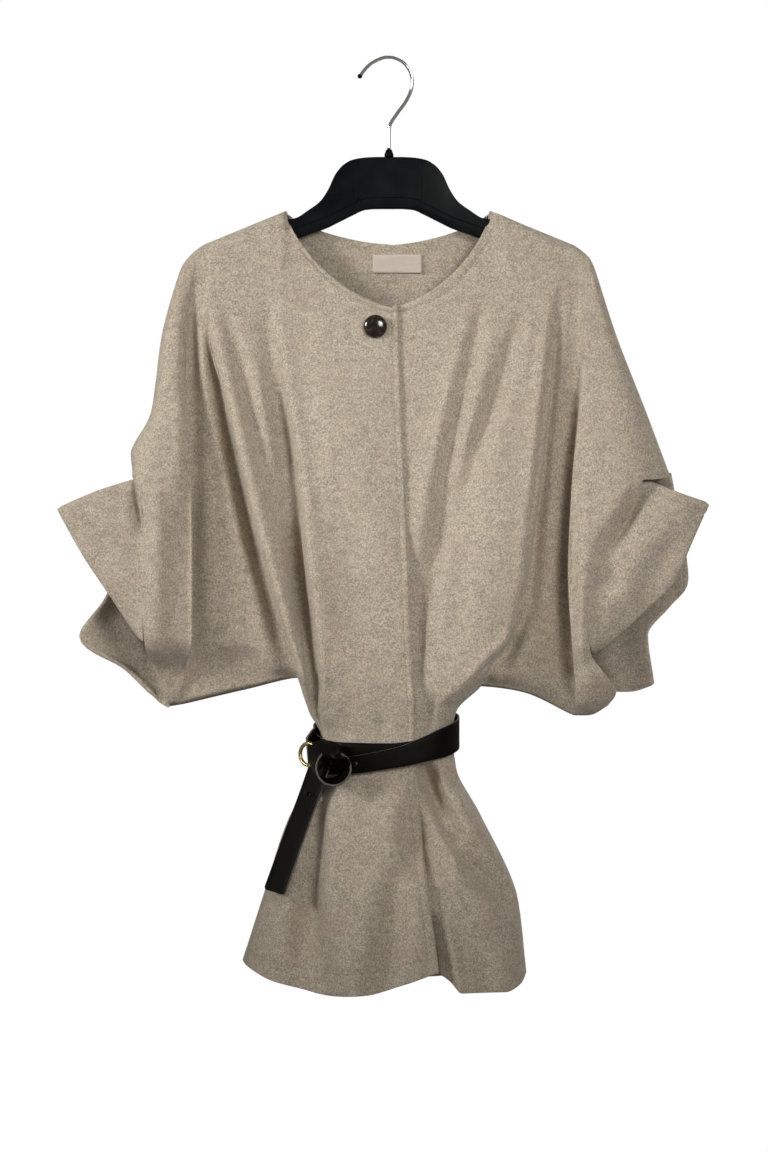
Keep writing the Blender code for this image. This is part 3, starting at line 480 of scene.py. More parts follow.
# The strap's end runs on from the side to the ring, as (across, depth, height).
STRAP_END = ((-84.5, -22.0, -755.0), (-88.5, -37.6, -760.4))
KNOT_X = -62.0
KNOT_Z = -773.5
KNOT_BACK_Y = -52.0
KNOT_R = 21.0
KNOT_CORE_R = 16.0
KNOT_W = 25.0
KNOT_FROM = 62.0
KNOT_TURN = 400.0
KNOT_STEPS = 121
RING_X = -87.5
RING_Y = -41.5
RING_Z = -763.0
RING_R = 12.0
RING_WIRE = 2.1
RING_YAW = -38.0
RING_STEPS = 72
RING_SIDES = 16
RIVET_TURN = -122.0
RIVET_Z = -773.0
RIVET_R = 3.2
RIVET_RISE = 1.6
RIVET_EDGE = 0.6
RIVET_STEPS = 8
RIVET_SIDES = 32
# Half the turn over which the waist's direction is taken at the rivet.
RIVET_LOOK = 2.0
TAIL = (
    # across, depth, height, turn of the strap's face in degrees
    (-79.5, -38.6, -787.0, 47.0),
    (-89.0, -41.6, -814.0, 46.0),
    (-99.5, -46.4, -842.0, 45.0),
    (-112.5, -53.0, -878.0, 44.0),
    (-124.5, -58.0, -912.0, 43.0),
)
TAIL_STEPS = 30
TAIL_ROUND = 4.0
TAIL_HOLE_Z = -807.0
TAIL_HOLE_SIDES = 24
# The over wrap starts behind the knot: turn in degrees, height, width.
WRAP_START = (-149.0, -776.0, 19.0)
# The strap folds over the top of the knot's loop, from the ring.
KNOT_FOLD = (
    # across, depth, height, lean in degrees
    (-87.0, -46.0, -763.0, 4.0),
    (-80.0, -62.0, -757.5, 0.0),
    (-71.0, -77.0, -754.5, -8.0),
    (-60.0, -83.0, -756.5, -22.0),
    (-51.5, -81.5, -763.5, -45.0),
    (-49.5, -74.0, -770.5, -62.0),
    (-53.0, -64.0, -776.0, -70.0),
    (-60.0, -54.0, -779.0, -70.0),
)
KNOT_FOLD_W = 17.0
KNOT_FOLD_STEPS = 12
# Direction of the strap's width in the knot's loop.
KNOT_LEAN = (-0.26, 1.0, 0.26)
# The tail comes out of the ring above its first row.
TAIL_TOP = (-72.5, -37.0, -766.0, 47.0)

# Hanger.
HANGER = (
    # across, top, bottom
    (0, -108.0, -165.0),
    (13, -108.0, -165.0),
    (26, -108.6, -166.0),
    (40, -111.0, -172.0),
    (50, -116.5, -177.0),
    (59, -127.0, -181.5),
    (67, -144.0, -185.5),
    (76, -157.0, -189.0),
    (88, -166.0, -193.0),
    (104, -175.5, -199.0),
    (125, -178.0, -206.0),
    (165, -194.0, -217.0),
    (196, -207.5, -226.0),
    (203, -212.0, -225.0),
)
HANGER_STEPS = 5
# The lower lip's height, and the greatest share of the plate that it takes.
HANGER_LIP_H = 12.0
HANGER_LIP_SHARE = 0.6
PLATE_T = 7.0
LIP_T = 11.0
# Rounded corners of the plate: the greatest share of a side that one takes, and the places round it.
CORNER_SHARE = 0.4
CORNER_STEPS = (0.0, 0.3, 0.7, 1.0)
# Moulded lines on the plate: distance from the middle, half widths at foot and crest, how deep they stand
# in the plate, and how far they stop below its top.
RIB_X = 35.0
RIB_FOOT = 0.6
RIB_CREST = 0.35
RIB_ROOT = 0.5
RIB_SHORT = 2.5
RIB_STEPS = 12
COLLAR_R = 5.0
COLLAR_H = 8.0
# Half profile of the collar, in shares of its radius and height.
COLLAR_FORM = ((0.94, 0.0), (1.0, 0.0375), (1.0, 0.36), (0.96, 0.42), (0.64, 0.94), (0.58, 1.0))
COLLAR_SIDES = 40
WIRE_R = 1.9
WIRE_SIDES = 24
HOOK_LINE = ((0, -99.4), (0, -84), (1, -73), (9, -60), (19, -46), (24.8, -32), (24.5, -17), (16, -4),
             (5, 1.4), (0, 1.9), (-6, 1.3), (-18, -4), (-26, -11), (-32, -19))
HOOK_STEPS = 10
# Ball on the hook's end, and the least radius at its poles.
TIP_STEPS = 15
TIP_SIDES = 28
TIP_POLE = 0.02

# Stage, in metres: the floor, the share of its own pale tone that the camera sees, the lights, the camera.
FLOOR_R = 2.2
FLOOR_SIDES = 96
FLOOR_PALE = 0.65
LIGHT_AIM = (0.0, 0.0, -0.43)
LIGHTS = {
    # light: place, size, spread in degrees, the setting that holds its power
    "key light": ((-2.1, -1.2, 0.3), 0.8, 30.0, "key"),
    "front light": ((1.1, -2.5, 0.35), 1.1, 32.0, "fill"),
    "back light": ((1.0, 2.6, 1.3), 2.0, 120.0, "back"),
}
CAMERA_X = -0.0055
CAMERA_Z = -0.5687
CAMERA_REACH = 50.0
SENSOR_MM = 36.0


def monotone(knots, values, at):
    """A smooth curve through the knots that doesn't overshoot them."""
    k = np.asarray(knots, float)
    v = np.asarray(values, float)
    flat = v.ndim == 1
    v = v[:, None] if flat else v
    h = np.diff(k)[:, None]
    d = np.diff(v, axis=0) / h
    m = np.zeros_like(v)
    m[0] = d[0]
    m[-1] = d[-1]
    if len(k) > 2:
        same = d[:-1] * d[1:] > 0
        total = np.where(same, d[:-1] + d[1:], 1.0)
        m[1:-1] = np.where(same, 2 * d[:-1] * d[1:] / total, 0.0)
    x = np.atleast_1d(np.asarray(at, float))
    i = np.clip(np.searchsorted(k, x) - 1, 0, len(k) - 2)
    t = ((x - k[i]) / h[i, 0])[:, None]
    out = ((1 + 2 * t) * (1 - t) ** 2 * v[i] + t * (1 - t) ** 2 * h[i] * m[i]
           + t * t * (3 - 2 * t) * v[i + 1] + t * t * (t - 1) * h[i] * m[i + 1])
    return out[:, 0] if flat else out


def unit(v):
    """Directions of length 1, along the last axis."""
    v = np.asarray(v, float)
    return v / np.maximum(np.linalg.norm(v, axis=-1, keepdims=True), TINY)


def through(points, shares):
    """Smooth lines through the points, all rows at once, at the given shares of each stretch.

    points holds (lines, rows, 3), and the result (rows, columns, 3).
    """
    p = np.asarray(points, float)
    first = 2 * p[0] - p[1]
    last = 2 * p[-1] - p[-2]
    p = np.concatenate([first[None], p, last[None]])
    columns = [p[1]]
    for k, places in enumerate(shares):
        a, b, c, d = p[k:k + 4]
        gap = [np.maximum(np.linalg.norm(v - u, axis=1, keepdims=True), NEAR) ** 0.5
               for u, v in ((a, b), (b, c), (c, d))]
        m1 = gap[1] * ((b - a) / gap[0] - (c - a) / (gap[0] + gap[1]) + (c - b) / gap[1])
        m2 = gap[1] * ((c - b) / gap[1] - (d - b) / (gap[1] + gap[2]) + (d - c) / gap[2])
        for t in places:
            if t > 1 - TINY:
                columns.append(c)
                continue
            columns.append((1 + 2 * t) * (1 - t) ** 2 * b + t * (1 - t) ** 2 * m1
                           + t * t * (3 - 2 * t) * c + t * t * (t - 1) * m2)
    return np.stack(columns, axis=1)


def even(count):
    return [(k + 1) / count for k in range(count)]


def sewn(count, seam, reach):
    """Even places, with three more where a seam sinks in."""
    plain = [t for t in even(count)[:-1] if abs(t - seam) > SEWN_CLEAR * reach]
    return sorted(plain + [seam - reach, seam, seam + reach]) + [1.0]


def row_levels():
    """The level of every row from the ridge to the hem."""
    out = [0.0]
    for i, name in enumerate(LEVELS[:-1]):
        count = LEVEL_ROWS[name]
        places = sewn(count, *SEWN_ROWS[name]) if name in SEWN_ROWS else even(count)
        out += [i + t for t in places]
    return np.array(out)


def row_at(levels, level):
    """The row nearest to a level."""
    return int(np.argmin(np.abs(levels - level)))


def curve_z(table, x):
    """Height of a boundary curve at x, from a table of (across, height)."""
    rows = np.array(table, float)
    return monotone(rows[:, 0], rows[:, 1], np.clip(x, rows[0, 0], rows[-1, 0]))[0]


def depth_at(z, side):
    """How far the front or the back stands from the middle plane at a height."""
    rows = np.array(DEPTH[::-1])
    column = 1 if side == "front" else 2
    return monotone(rows[:, 0], rows[:, column], np.clip(z, rows[0, 0], rows[-1, 0]))[0]


def top_z(x, side):
    """Height of the neck edge and of the shoulder ridge at x."""
    if on_shoulder(x):
        out = NECK_RIGHT_X - x if x < 0 else x - NECK_LEFT_X
        tip = max(abs(x) - SHOULDER_TIP_X, 0.0)
        return NECK_Z - SHOULDER_SLOPE * out - SHOULDER_TIP_DROP * tip ** 2
    middle = FRONT_NECK_X if side == "front" else 0.0
    drop = RIGHT_NECK_DROP if x < middle else LEFT_NECK_DROP
    drop = drop if side == "front" else BACK_NECK_DROP
    reach = (middle - NECK_RIGHT_X) if x < middle else (NECK_LEFT_X - middle)
    share = min(abs(x - middle) / reach, 1.0)
    return NECK_Z - drop * (1 - share ** NECK_ROUND) ** (1 / NECK_ROUND)


def on_shoulder(x):
    return x <= NECK_RIGHT_X + SEAM_NEAR or x >= NECK_LEFT_X - SEAM_NEAR


def spread(columns, row):
    """A fold's distance across at every level, from its named columns."""
    known = {}
    for name, x in zip(columns, row):
        known[LEVELS.index(name)] = x
    return monotone(sorted(known), [known[i] for i in sorted(known)], np.arange(max(known) + 1))


def side_seams(level):
    """The two side seams at a level below the underarm."""
    return (spread(BODY_COLUMNS, RIGHT_BODY["body tuck"][:-2])[level],
            spread(BODY_COLUMNS, LEFT_BODY["body tuck"][:-2])[level])


def hem_of(side, wearer):
    return HEM["back" if side == "back" else wearer]


def body_rail(row, above, below, side, wearer, seam):
    """A fold line from the neck or shoulder to the hem, a point at each level."""
    sign = OUTWARD[side]
    x = spread(BODY_COLUMNS, row)
    top = top_z(x[0], side)
    out = []
    for i, name in enumerate(LEVELS):
        z = {"ridge": top, "arch": top - ARCH_DROP}.get(name, LEVEL_Z.get(name))
        if name == "hem":
            z = curve_z(hem_of(side, wearer), x[i])
        elif name == "under" and seam:
            z = curve_z(UNDERARM[wearer], x[i])
        y = depth_at(z, side)
        gain = FOLD_GAIN[name]
        if i < UNDER:
            y *= 1 - (1 - above) * gain
        else:
            right, left = side_seams(i)
            share = min(abs(x[i] - (right + left) / 2) / ((left - right) / 2), 1.0)
            power = BLOUSE_ROUND.get(name, BODY_ROUND)
            y *= (1 - share ** power) ** (1 / power) * (1 - below * gain)
        if (seam and i >= UNDER) or (name == "ridge" and on_shoulder(x[0])):
            y = SEAM_GAP / 2
        out.append((x[i], sign * y, z))
    return np.array(out)


def wing_rail(row, side, wearer):
    """A fold line of the sleeve, from the shoulder to the underarm edge."""
    sign = OUTWARD[side]
    x = spread(WING_COLUMNS, row)
    x[ARCH] = x[0] + ARCH_SHARE * (x[YOKE] - x[0])
    above = row[-1]
    top = top_z(x[0], side)
    low = curve_z(UNDERARM[wearer], x[UNDER])
    ends = {"ridge": top, "arch": top - ARCH_DROP, "brim": low + BRIM_RISE[wearer], "under": low}
    out = []
    for i, name in enumerate(LEVELS[:UNDER + 1]):
        z = ends.get(name, LEVEL_Z.get(name))
        gain = WING_BRIM_GAIN if name == "brim" else FOLD_GAIN[name]
        y = depth_at(z, side) * (1 - (1 - above) * gain)
        if name in ("ridge", "under"):
            y = SEAM_GAP / 2
        elif name == "brim":
            y *= BRIM_SHARE[wearer]
        out.append((x[i], sign * y, z))
    return np.array(out)


def sleeve_top_rails(edge, wearer, side):
    """The sleeve's top fold, from the shoulder to the elbow: the round of the roll, then the seam."""
    sign = OUTWARD[side]
    x = spread(SLEEVE_TOP_COLUMNS, SLEEVE_TOP[wearer])
    x[ARCH] = x[0] + ARCH_SHARE * (x[YOKE] - x[0])
    edge = edge[:ELBOW + 1]
    seam = edge.copy()
    seam[:, 0] = x
    seam[:, 1] = sign * SEAM_GAP / 2
    seam[0, 2] = top_z(x[0], side)
    seam[ARCH, 2] = seam[0, 2] - ARCH_DROP
    seam[ELBOW, 2] += SLEEVE_TOP_RISE
    turn = (edge + seam) / 2
    turn[:, 0] = x + SLEEVE_TOP_ROUND * (edge[:, 0] - x)
    return turn, seam


def sleeve_end_rows(wearer, side, levels):
    """Tuck, middle and tip of a sleeve end at the given levels."""
    sign = OUTWARD[side]
    table = np.array(SLEEVE_ENDS[(wearer, side)], float)
    v = monotone(table[:, 0], table[:, 1:], levels)
    tuck = np.stack([v[:, 0], sign * v[:, 1], np.zeros(len(v))], axis=1)
    middle = np.stack([v[:, 2], sign * v[:, 4], v[:, 3]], axis=1)
    tip = np.stack([v[:, 5], sign * v[:, 7], v[:, 6]], axis=1)
    return tuck, middle, tip


def rows_of(rail, levels):
    return monotone(np.arange(len(rail)), rail, levels)


def waist_ring(turn, out):
    """A point round the waist, out from the cloth."""
    right, left = side_seams(LEVELS.index("belt_line"))
    a = (left - right) / 2 + out
    b = WAIST_DEPTH + out
    c, s = math.cos(math.radians(turn)), math.sin(math.radians(turn))
    r = (abs(c / a) ** BODY_ROUND + abs(s / b) ** BODY_ROUND) ** (-1 / BODY_ROUND)
    return (right + left) / 2 + r * c, r * s


class Panel:
    """A cloth panel's outer face, welded from patches of points, with its sewn relief."""

    def __init__(self, outward):
        self.outward = outward
        self.index = {}
        self.points = []
        self.relief = []
        self.full = []
        self.faces = []

    def keep_side(self, p):
        """Holds points on the panel's own side of its seams."""
        p[..., 1] = self.outward * np.maximum(self.outward * p[..., 1], SEAM_GAP / 2)
        return p

    def lay(self, grid, relief=None, full=None):
        """Adds a patch and returns the number of each of its points."""
        grid = self.keep_side(np.array(grid, float))
        relief = np.zeros(grid.shape[:2]) if relief is None else relief
        full = np.zeros(grid.shape[:2]) if full is None else full
        ids = np.zeros(grid.shape[:2], int)
        for r in range(grid.shape[0]):
            for c in range(grid.shape[1]):
                key = tuple(np.round(grid[r, c], 3))
                if key not in self.index:
                    self.index[key] = len(self.points)
                    self.points.append(grid[r, c])
                    self.relief.append(relief[r, c])
                    self.full.append(full[r, c])
                ids[r, c] = self.index[key]
        quads = np.stack([ids[:-1, :-1], ids[:-1, 1:], ids[1:, 1:], ids[1:, :-1]], axis=2).reshape(-1, 4)
        p = np.array(self.points)
        facing = np.cross(p[quads[:, 2]] - p[quads[:, 0]], p[quads[:, 3]] - p[quads[:, 1]])[:, 1].sum()
        if facing * self.outward < 0:
            quads = quads[:, ::-1]
        for q in quads:
            corners = tuple(dict.fromkeys(int(v) for v in q))
            if len(corners) > 2:
                self.faces.append(corners)
        return ids

    def square(self):
        """The faces as rows of four, a triangle with its last corner twice."""
        return np.array([f if len(f) == 4 else (*f, f[-1]) for f in self.faces])

    def edges(self):
        """Every edge as two points, and whether only one face has it."""
        q = self.square()
        pairs = np.concatenate([q[:, [k, (k + 1) % 4]] for k in range(4)])
        pairs = pairs[pairs[:, 0] != pairs[:, 1]]
        low = np.sort(pairs, axis=1)
        _, first, count = np.unique(low, axis=0, return_index=True, return_counts=True)
        return pairs[first], count == 1

    def normals(self, p, rounds):
        """Directions out of the cloth, evened out over a few rounds."""
        q = self.square()
        face = np.cross(p[q[:, 2]] - p[q[:, 0]], p[q[:, 3]] - p[q[:, 1]])
        n = np.zeros_like(p)
        for k in range(4):
            np.add.at(n, q[:, k], face)
        seam = np.abs(p[:, 1]) < SEAM_GAP / 2 + SEAM_NEAR
        pairs, _ = self.edges()
        for k in range(rounds + 1):
            n[seam, 1] = 0.0
            n = unit(n)
            if k < rounds:
                near = n.copy()
                np.add.at(near, pairs[:, 0], n[pairs[:, 1]] / 2)
                np.add.at(near, pairs[:, 1], n[pairs[:, 0]] / 2)
                n = near
        return n

    def soften(self, p, rounds):
        """Rounds off the folds, with the edges left where they are."""
        pairs, single = self.edges()
        fixed = np.zeros(len(p), bool)
        fixed[pairs[single].ravel()] = True
        for _ in range(rounds):
            total = np.zeros_like(p)
            count = np.zeros((len(p), 1))
            for a, b in ((0, 1), (1, 0)):
                np.add.at(total, pairs[:, a], p[pairs[:, b]])
                np.add.at(count, pairs[:, a], 1.0)
            moved = p + SOFTEN_SHARE * (total / np.maximum(count, 1) - p)
            p = np.where(fixed[:, None], p, moved)
        return p

    def finish(self, creases, cloth):
        """Sets the outer and the inner face, with the creases, swells and sewn lines."""
        p = self.soften(np.array(self.points), cloth.soften_rounds)
        n = self.normals(p, OUTER_EASE)
        facing = smooth(*CREASE_FACING, self.outward * n[:, 1])
        way = n * CREASE_LEAN + np.array([0.0, (1 - CREASE_LEAN) * self.outward, 0.0])
        p = self.keep_side(p + way * (fall(p, creases, cloth) * facing)[:, None])
        thick = cloth.thickness / MM + np.array(self.full)[:, None]
        self.inner = self.keep_side(p - self.normals(p, INNER_EASE) * thick)
        self.out = self.normals(p, OUTER_EASE)
        self.outer = p + self.out * np.array(self.relief)[:, None]

    def shell(self):
        """The cloth as a closed thin wall, round at its free edges."""
        pairs, single = self.edges()
        rim = pairs[single]
        count = len(self.outer)
        tangent = self.outer[rim[:, 1]] - self.outer[rim[:, 0]]
        side = np.zeros_like(self.outer)
        for k in (0, 1):
            np.add.at(side, rim[:, k], np.cross(tangent, self.out[rim[:, k]]))
        side = unit(side)
        thick = np.linalg.norm(self.outer - self.inner, axis=1, keepdims=True)
        free = np.abs(self.outer[:, 1]) > SEAM_GAP / 2 + SEAM_FREE
        edge = sorted({int(v) for v in rim.ravel()})
        middle = (self.outer + self.inner) / 2
        reach = (self.outer - self.inner) / 2
        rings = []
        for turn in RIM_TURNS:
            a = math.radians(turn)
            bulge = side * thick / 2 * math.sin(a) * free[:, None]
            rings.append(self.keep_side((middle + reach * math.cos(a) + bulge)[edge]))
        place = {v: 2 * count + k for k, v in enumerate(edge)}
        faces = list(self.faces) + [tuple(v + count for v in f[::-1]) for f in self.faces]
        for a, b in rim:
            a, b = int(a), int(b)
            steps = [k * len(edge) for k in range(len(RIM_TURNS))]
            run = [(a, b)] + [(place[a] + k, place[b] + k) for k in steps] + [(a + count, b + count)]
            for (a0, b0), (a1, b1) in zip(run[:-1], run[1:]):
                faces.append((b0, a0, a1, b1))
        return np.vstack([self.outer, self.inner] + rings), faces


def smooth(low, high, x):
    t = np.clip((np.asarray(x, float) - low) / (high - low), 0, 1)
    return t * t * (3 - 2 * t)


def fall(p, creases, cloth):
    """How far the cloth moves out at each point, for its creases and swells."""
    x, z = p[:, 0], p[:, 2]
    out = np.zeros(len(p))
    for x0, z0, x1, z1, width, depth, bow in creases:
        run = np.array([x1 - x0, z1 - z0], float)
        length = np.linalg.norm(run)
        run = run / length
        t = np.clip(((x - x0) * run[0] + (z - z0) * run[1]) / length, 0, 1)
        off = (x - x0) * run[1] - (z - z0) * run[0] - bow * 4 * t * (1 - t)
        fade = np.sin(math.pi * t) ** CREASE_FADE
        wide = width * (CREASE_WIDEN[0] + CREASE_WIDEN[1] * t)
        beside = (np.abs(off) - CREASE_RIDGE_AT * wide) / wide
        out -= depth * fade * np.exp(-(off / wide) ** 2)
        out += depth * CREASE_RIDGE * fade * np.exp(-beside ** 2)
    out *= cloth.crease_gain
    for size, height in SWELLS:
        out += np.array([noise.noise(Vector((a / size, size, b / size))) for a, b in zip(x, z)]) * height
    low, high = BELT_REACH
    belted = smooth(low - BELT_FADE, low, z) * (1 - smooth(high, high + BELT_FADE, z))
    out = np.where(out > 0, out * (1 - belted), out)
    out *= smooth(SEAM_GAP / 2, SEAM_FADE, np.abs(p[:, 1]))
    return out * (1 - smooth(NECK_FADE[1], NECK_FADE[0], z))


def sewn_line(place, seam, reach, cloth, gain=1.0):
    """Height of a sewn band before its seam, and of the seam's groove, at shares along."""
    place = np.asarray(place, float)
    ends = smooth(seam - SEWN_CLEAR * reach, seam - SEWN_BAND_END * reach, place)
    band = gain * cloth.band_rise / MM * (1 - ends)
    groove = cloth.seam_sink / MM * np.exp(-((place - seam) / (SEWN_GROOVE * reach)) ** 2)
    return band - groove


def fit_top(grid, levels, side, bend=None, laid=0):
    """The neck edge and the shoulder ridge follow their curves, and the cloth rounds over the ridge.

    bend holds the columns of the neck's bend and corner. The first laid columns stay as they are.
    """
    arch = row_at(levels, ARCH)
    fade = np.clip(1 - levels / YOKE, 0, 1)
    for c in range(laid, grid.shape[1]):
        x = grid[0, c, 0]
        ease = min((c - laid) / LAP_EASE, 1.0) if laid else 1.0
        grid[:, c, 2] += (top_z(x, side) - grid[0, c, 2]) * fade * ease
        if not on_shoulder(x) and not (bend and bend[0] < c < bend[1]):
            continue
        share = 1.0 if on_shoulder(x) else (c - bend[0]) / (bend[1] - bend[0])
        for r in range(arch):
            turn = levels[r] / ARCH * math.pi / 2
            y = grid[arch, c, 1] * math.sin(turn) if r else math.copysign(SEAM_GAP / 2, grid[arch, c, 1])
            z = grid[0, c, 2] + (grid[arch, c, 2] - grid[0, c, 2]) * (1 - math.cos(turn))
            grid[r, c, 1] += (y - grid[r, c, 1]) * share
            grid[r, c, 2] += (z - grid[r, c, 2]) * share if r else 0.0


def fit_hem(grid, levels, table, laid=0):
    for c in range(laid, grid.shape[1]):
        lift = curve_z(table, grid[-1, c, 0]) - grid[-1, c, 2]
        grid[:, c, 2] += lift * np.clip(levels - THIGH, 0, 1)


def half_panel(panel, body, across, wearer, side, levels, bend, cloth, laid=0, edge=False, cuff=False):
    """Lays one half panel, body and sleeve.

    Returns the body's points, and the numbers of the points in the body and in the sleeve's end.
    """
    across = [list(places) for places in across]
    wings = [even(k) for k in WING_ACROSS]
    raised = levels[levels <= UNDER + NEAR]
    rails = [wing_rail(row, side, wearer) for row in WINGS[wearer].values()]
    tops = sleeve_top_rails(rails[-1], wearer, side)
    last = SLEEVE_ENDS[(wearer, side)][-1][0]
    body = np.array(body)
    wing = np.array([rows_of(rail, raised) for rail in rails])
    top = np.array([rows_of(rail, np.minimum(raised, ELBOW)) for rail in tops])
    if wearer == "right":
        far, start, full, stop = ELBOW_BULGE
        top[:, :, 0] -= far * smooth(start, full, raised) * (1 - smooth(full, stop, raised))
    end = np.array(sleeve_end_rows(wearer, side, raised))
    end[0, :, 2] = wing[-1, :, 2]
    upper = np.flatnonzero(raised <= ELBOW + NEAR)
    flap = np.flatnonzero((raised >= ELBOW - NEAR) & (raised <= last + NEAR))
    under = np.flatnonzero(raised > last + NEAR)
    lower = np.flatnonzero(levels > UNDER + NEAR)
    wing_at = sum(len(places) for places in across)
    edge_at = wing_at + sum(len(places) for places in wings)
    high = through(np.concatenate([body[:, upper], wing[:, upper], top[:, upper]]),
                   across + wings + [even(k) for k in TOP_ACROSS])
    ends = through(np.concatenate([body[:, flap], wing[:, flap], end[:, flap]]),
                   across + wings + [even(k) for k in END_ACROSS])
    mid = through(np.concatenate([body[:, under], wing[:, under]]), across + wings)
    low = through(body[:, lower], across)
    body_grid = np.concatenate([g[:, :wing_at + 1] for g in (high, ends[1:], mid, low)])
    wing_grid = np.concatenate([g[:, wing_at:edge_at + 1] for g in (high, ends[1:], mid)])
    top_grid = high[:, edge_at:]
    end_grid = ends[:, edge_at:]
    columns = np.concatenate([[0], np.cumsum([len(places) for places in across])])
    corner = (int(columns[bend]), int(columns[bend + 1]))
    fit_top(body_grid, levels, side, corner, laid)
    fit_top(wing_grid, raised, side)
    fit_top(top_grid, raised[upper], side)
    fit_hem(body_grid, levels, hem_of(side, wearer), laid)
    relief = body_relief(levels, body_grid.shape[1], corner, across[0] if edge else None, cloth, wearer)
    cuff_relief = np.zeros(end_grid.shape[:2])
    if cuff:
        reach = np.concatenate([np.zeros(1), np.linspace(0, 1, end_grid.shape[1] - 1)])
        seam = sewn_line(raised[flap] - ELBOW, *SEWN_ROWS["elbow"], cloth)
        cuff_relief = seam[:, None] * smooth(0, CUFF_SEAM_FADE, reach)
    ids = {"corner": corner, "body": panel.lay(body_grid, relief)}
    panel.lay(wing_grid)
    panel.lay(top_grid)
    ids["end"] = panel.lay(end_grid, cuff_relief, cuff_full(end_grid))
    return body_grid, ids


def cuff_full(grid):
    """How much fuller a sleeve end is towards its free edge."""
    across = np.linspace(0, 1, grid.shape[1])
    return np.tile(CUFF_FULL * smooth(1 - CUFF_SHARE, 1.0, across), (grid.shape[0], 1))


def body_relief(levels, columns, corner, edge, cloth, wearer):
    """Sewn bands of a body patch: neck, hem, and the front edge where there is one."""
    neck = sewn_line(levels, *SEWN_ROWS["ridge"], cloth, NECK_GAIN[wearer])
    neck = np.where(levels <= ARCH + NEAR, neck, 0.0)
    at_neck = 1 - smooth(corner[0] - NECK_SEAM_FADE, corner[0], np.arange(columns))
    hem = sewn_line(1 - (levels - THIGH), 1 - SEWN_ROWS["thigh"][0], SEWN_ROWS["thigh"][1], cloth)
    hem = np.where(levels > THIGH, hem, 0.0)
    out = neck[:, None] * at_neck + hem[:, None] * HEM_GAIN
    if edge is not None:
        front = np.zeros(columns)
        places = np.concatenate([[0.0], edge])
        front[:len(places)] = sewn_line(places, *EDGE_SEAM, cloth) * EDGE_GAIN
        out = np.where(np.abs(out) > np.abs(front), out, front)
    return out


def front_lines(table, wearer, levels):
    return [rows_of(body_rail(row[:-2], row[-2], row[-1], "front", wearer, name == "body tuck"), levels)
            for name, row in table.items()]


def back_lines(wearer, levels):
    """The back's fold lines on one side, spread from the middle to the body fold."""
    table = RIGHT_BODY if wearer == "right" else LEFT_BODY
    fold = np.array(table["body fold"][:-2], float)
    out = []
    for name, (share, above, below) in BACK_FOLDS.items():
        row = np.array(table["body tuck"][:-2], float) if share is None else fold * share
        if name in BACK_NECK_LINES:
            inside, yoke = BACK_NECK_LINES[name]
            corner = NECK_RIGHT_X if wearer == "right" else NECK_LEFT_X
            row[0] = corner - math.copysign(inside, corner)
            row[1] = math.copysign(yoke, corner)
        out.append(rows_of(body_rail(row, above, below, "back", wearer, share is None), levels))
    return out


def make_fronts(levels, cloth):
    """The two fronts. The left one's underlap is the right one's own form, moved in."""
    right = Panel(OUTWARD["front"])
    first = sewn(RIGHT_ACROSS[0], *EDGE_SEAM)
    across = [first] + [even(k) for k in RIGHT_ACROSS[1:]]
    grid, right_ids = half_panel(right, front_lines(RIGHT_BODY, "right", levels), across, "right", "front",
                                 levels, RIGHT_BEND, cloth, edge=True)
    normals = right.normals(np.array(right.points), OUTER_EASE)
    reach = 1 + sum(t <= LAP_SHARE for t in first)
    lap = grid[:, :reach] - normals[right_ids["body"][:, :reach]] * (cloth.thickness / MM + LAP_SPACE)
    beside = lap[:, 0] + LAP_STEP
    left = Panel(OUTWARD["front"])
    lines = [lap[:, 0], beside] + front_lines(LEFT_BODY, "left", levels)
    across = [even(k) for k in LEFT_ACROSS]
    _, left_ids = half_panel(left, lines, across, "left", "front", levels, LEFT_BEND, cloth,
                             laid=LEFT_ACROSS[0] + 1, cuff=True)
    left.lay(lap[:, ::-1])
    right.finish(FRONT_CREASES, cloth)
    left.finish(FRONT_CREASES + LEFT_CREASES, cloth)
    tuck_under(left, right)
    return right, right_ids, left, left_ids


def tuck_under(left, right):
    """Keeps the left front's lap behind the inner face of the right front."""
    over = right.inner[right.inner[:, 0] > -LAP_ZONE]
    tree = kdtree.KDTree(len(over))
    for k, (x, _, z) in enumerate(over):
        tree.insert((x, 0.0, z), k)
    tree.balance()
    for k in np.flatnonzero(left.outer[:, 0] < LAP_ZONE):
        x, y, z = left.outer[k]
        behind = max(over[near, 1] - LAP_SLOPE * gap for _, near, gap in tree.find_n((x, 0.0, z), LAP_NEAR))
        short = behind + LAP_SPACE - y
        if short > 0:
            left.outer[k, 1] += short
            left.inner[k, 1] += short


def make_back(levels, cloth):
    back = Panel(OUTWARD["back"])
    ids = {}
    for wearer in ("right", "left"):
        across = [even(k) for k in BACK_ACROSS]
        _, ids[wearer] = half_panel(back, back_lines(wearer, levels), across, wearer, "back", levels,
                                    BACK_BEND, cloth)
    back.finish(BACK_CREASES, cloth)
    return back, ids


def loft(sections, closed=False):
    """Faces over a run of sections with the same number of points, capped unless closed."""
    sections = np.array(sections)
    count, n = sections.shape[:2]
    faces = []
    for s in range(count if closed else count - 1):
        a, b = s * n, ((s + 1) % count) * n
        faces += [(a + k, a + (k + 1) % n, b + (k + 1) % n, b + k) for k in range(n)]
    if not closed:
        faces += [tuple(range(n))[::-1], tuple(range((count - 1) * n, count * n))]
    return sections.reshape(-1, 3), faces


def joined(*shapes):
    points, faces = [], []
    for own, sides in shapes:
        start = len(points)
        points += [tuple(p) for p in own]
        faces += [tuple(v + start for v in f) for f in sides]
    return np.array(points), faces


def along(path, closed=False):
    t = np.roll(path, -1, axis=0) - np.roll(path, 1, axis=0) if closed else np.gradient(path, axis=0)
    return unit(t)


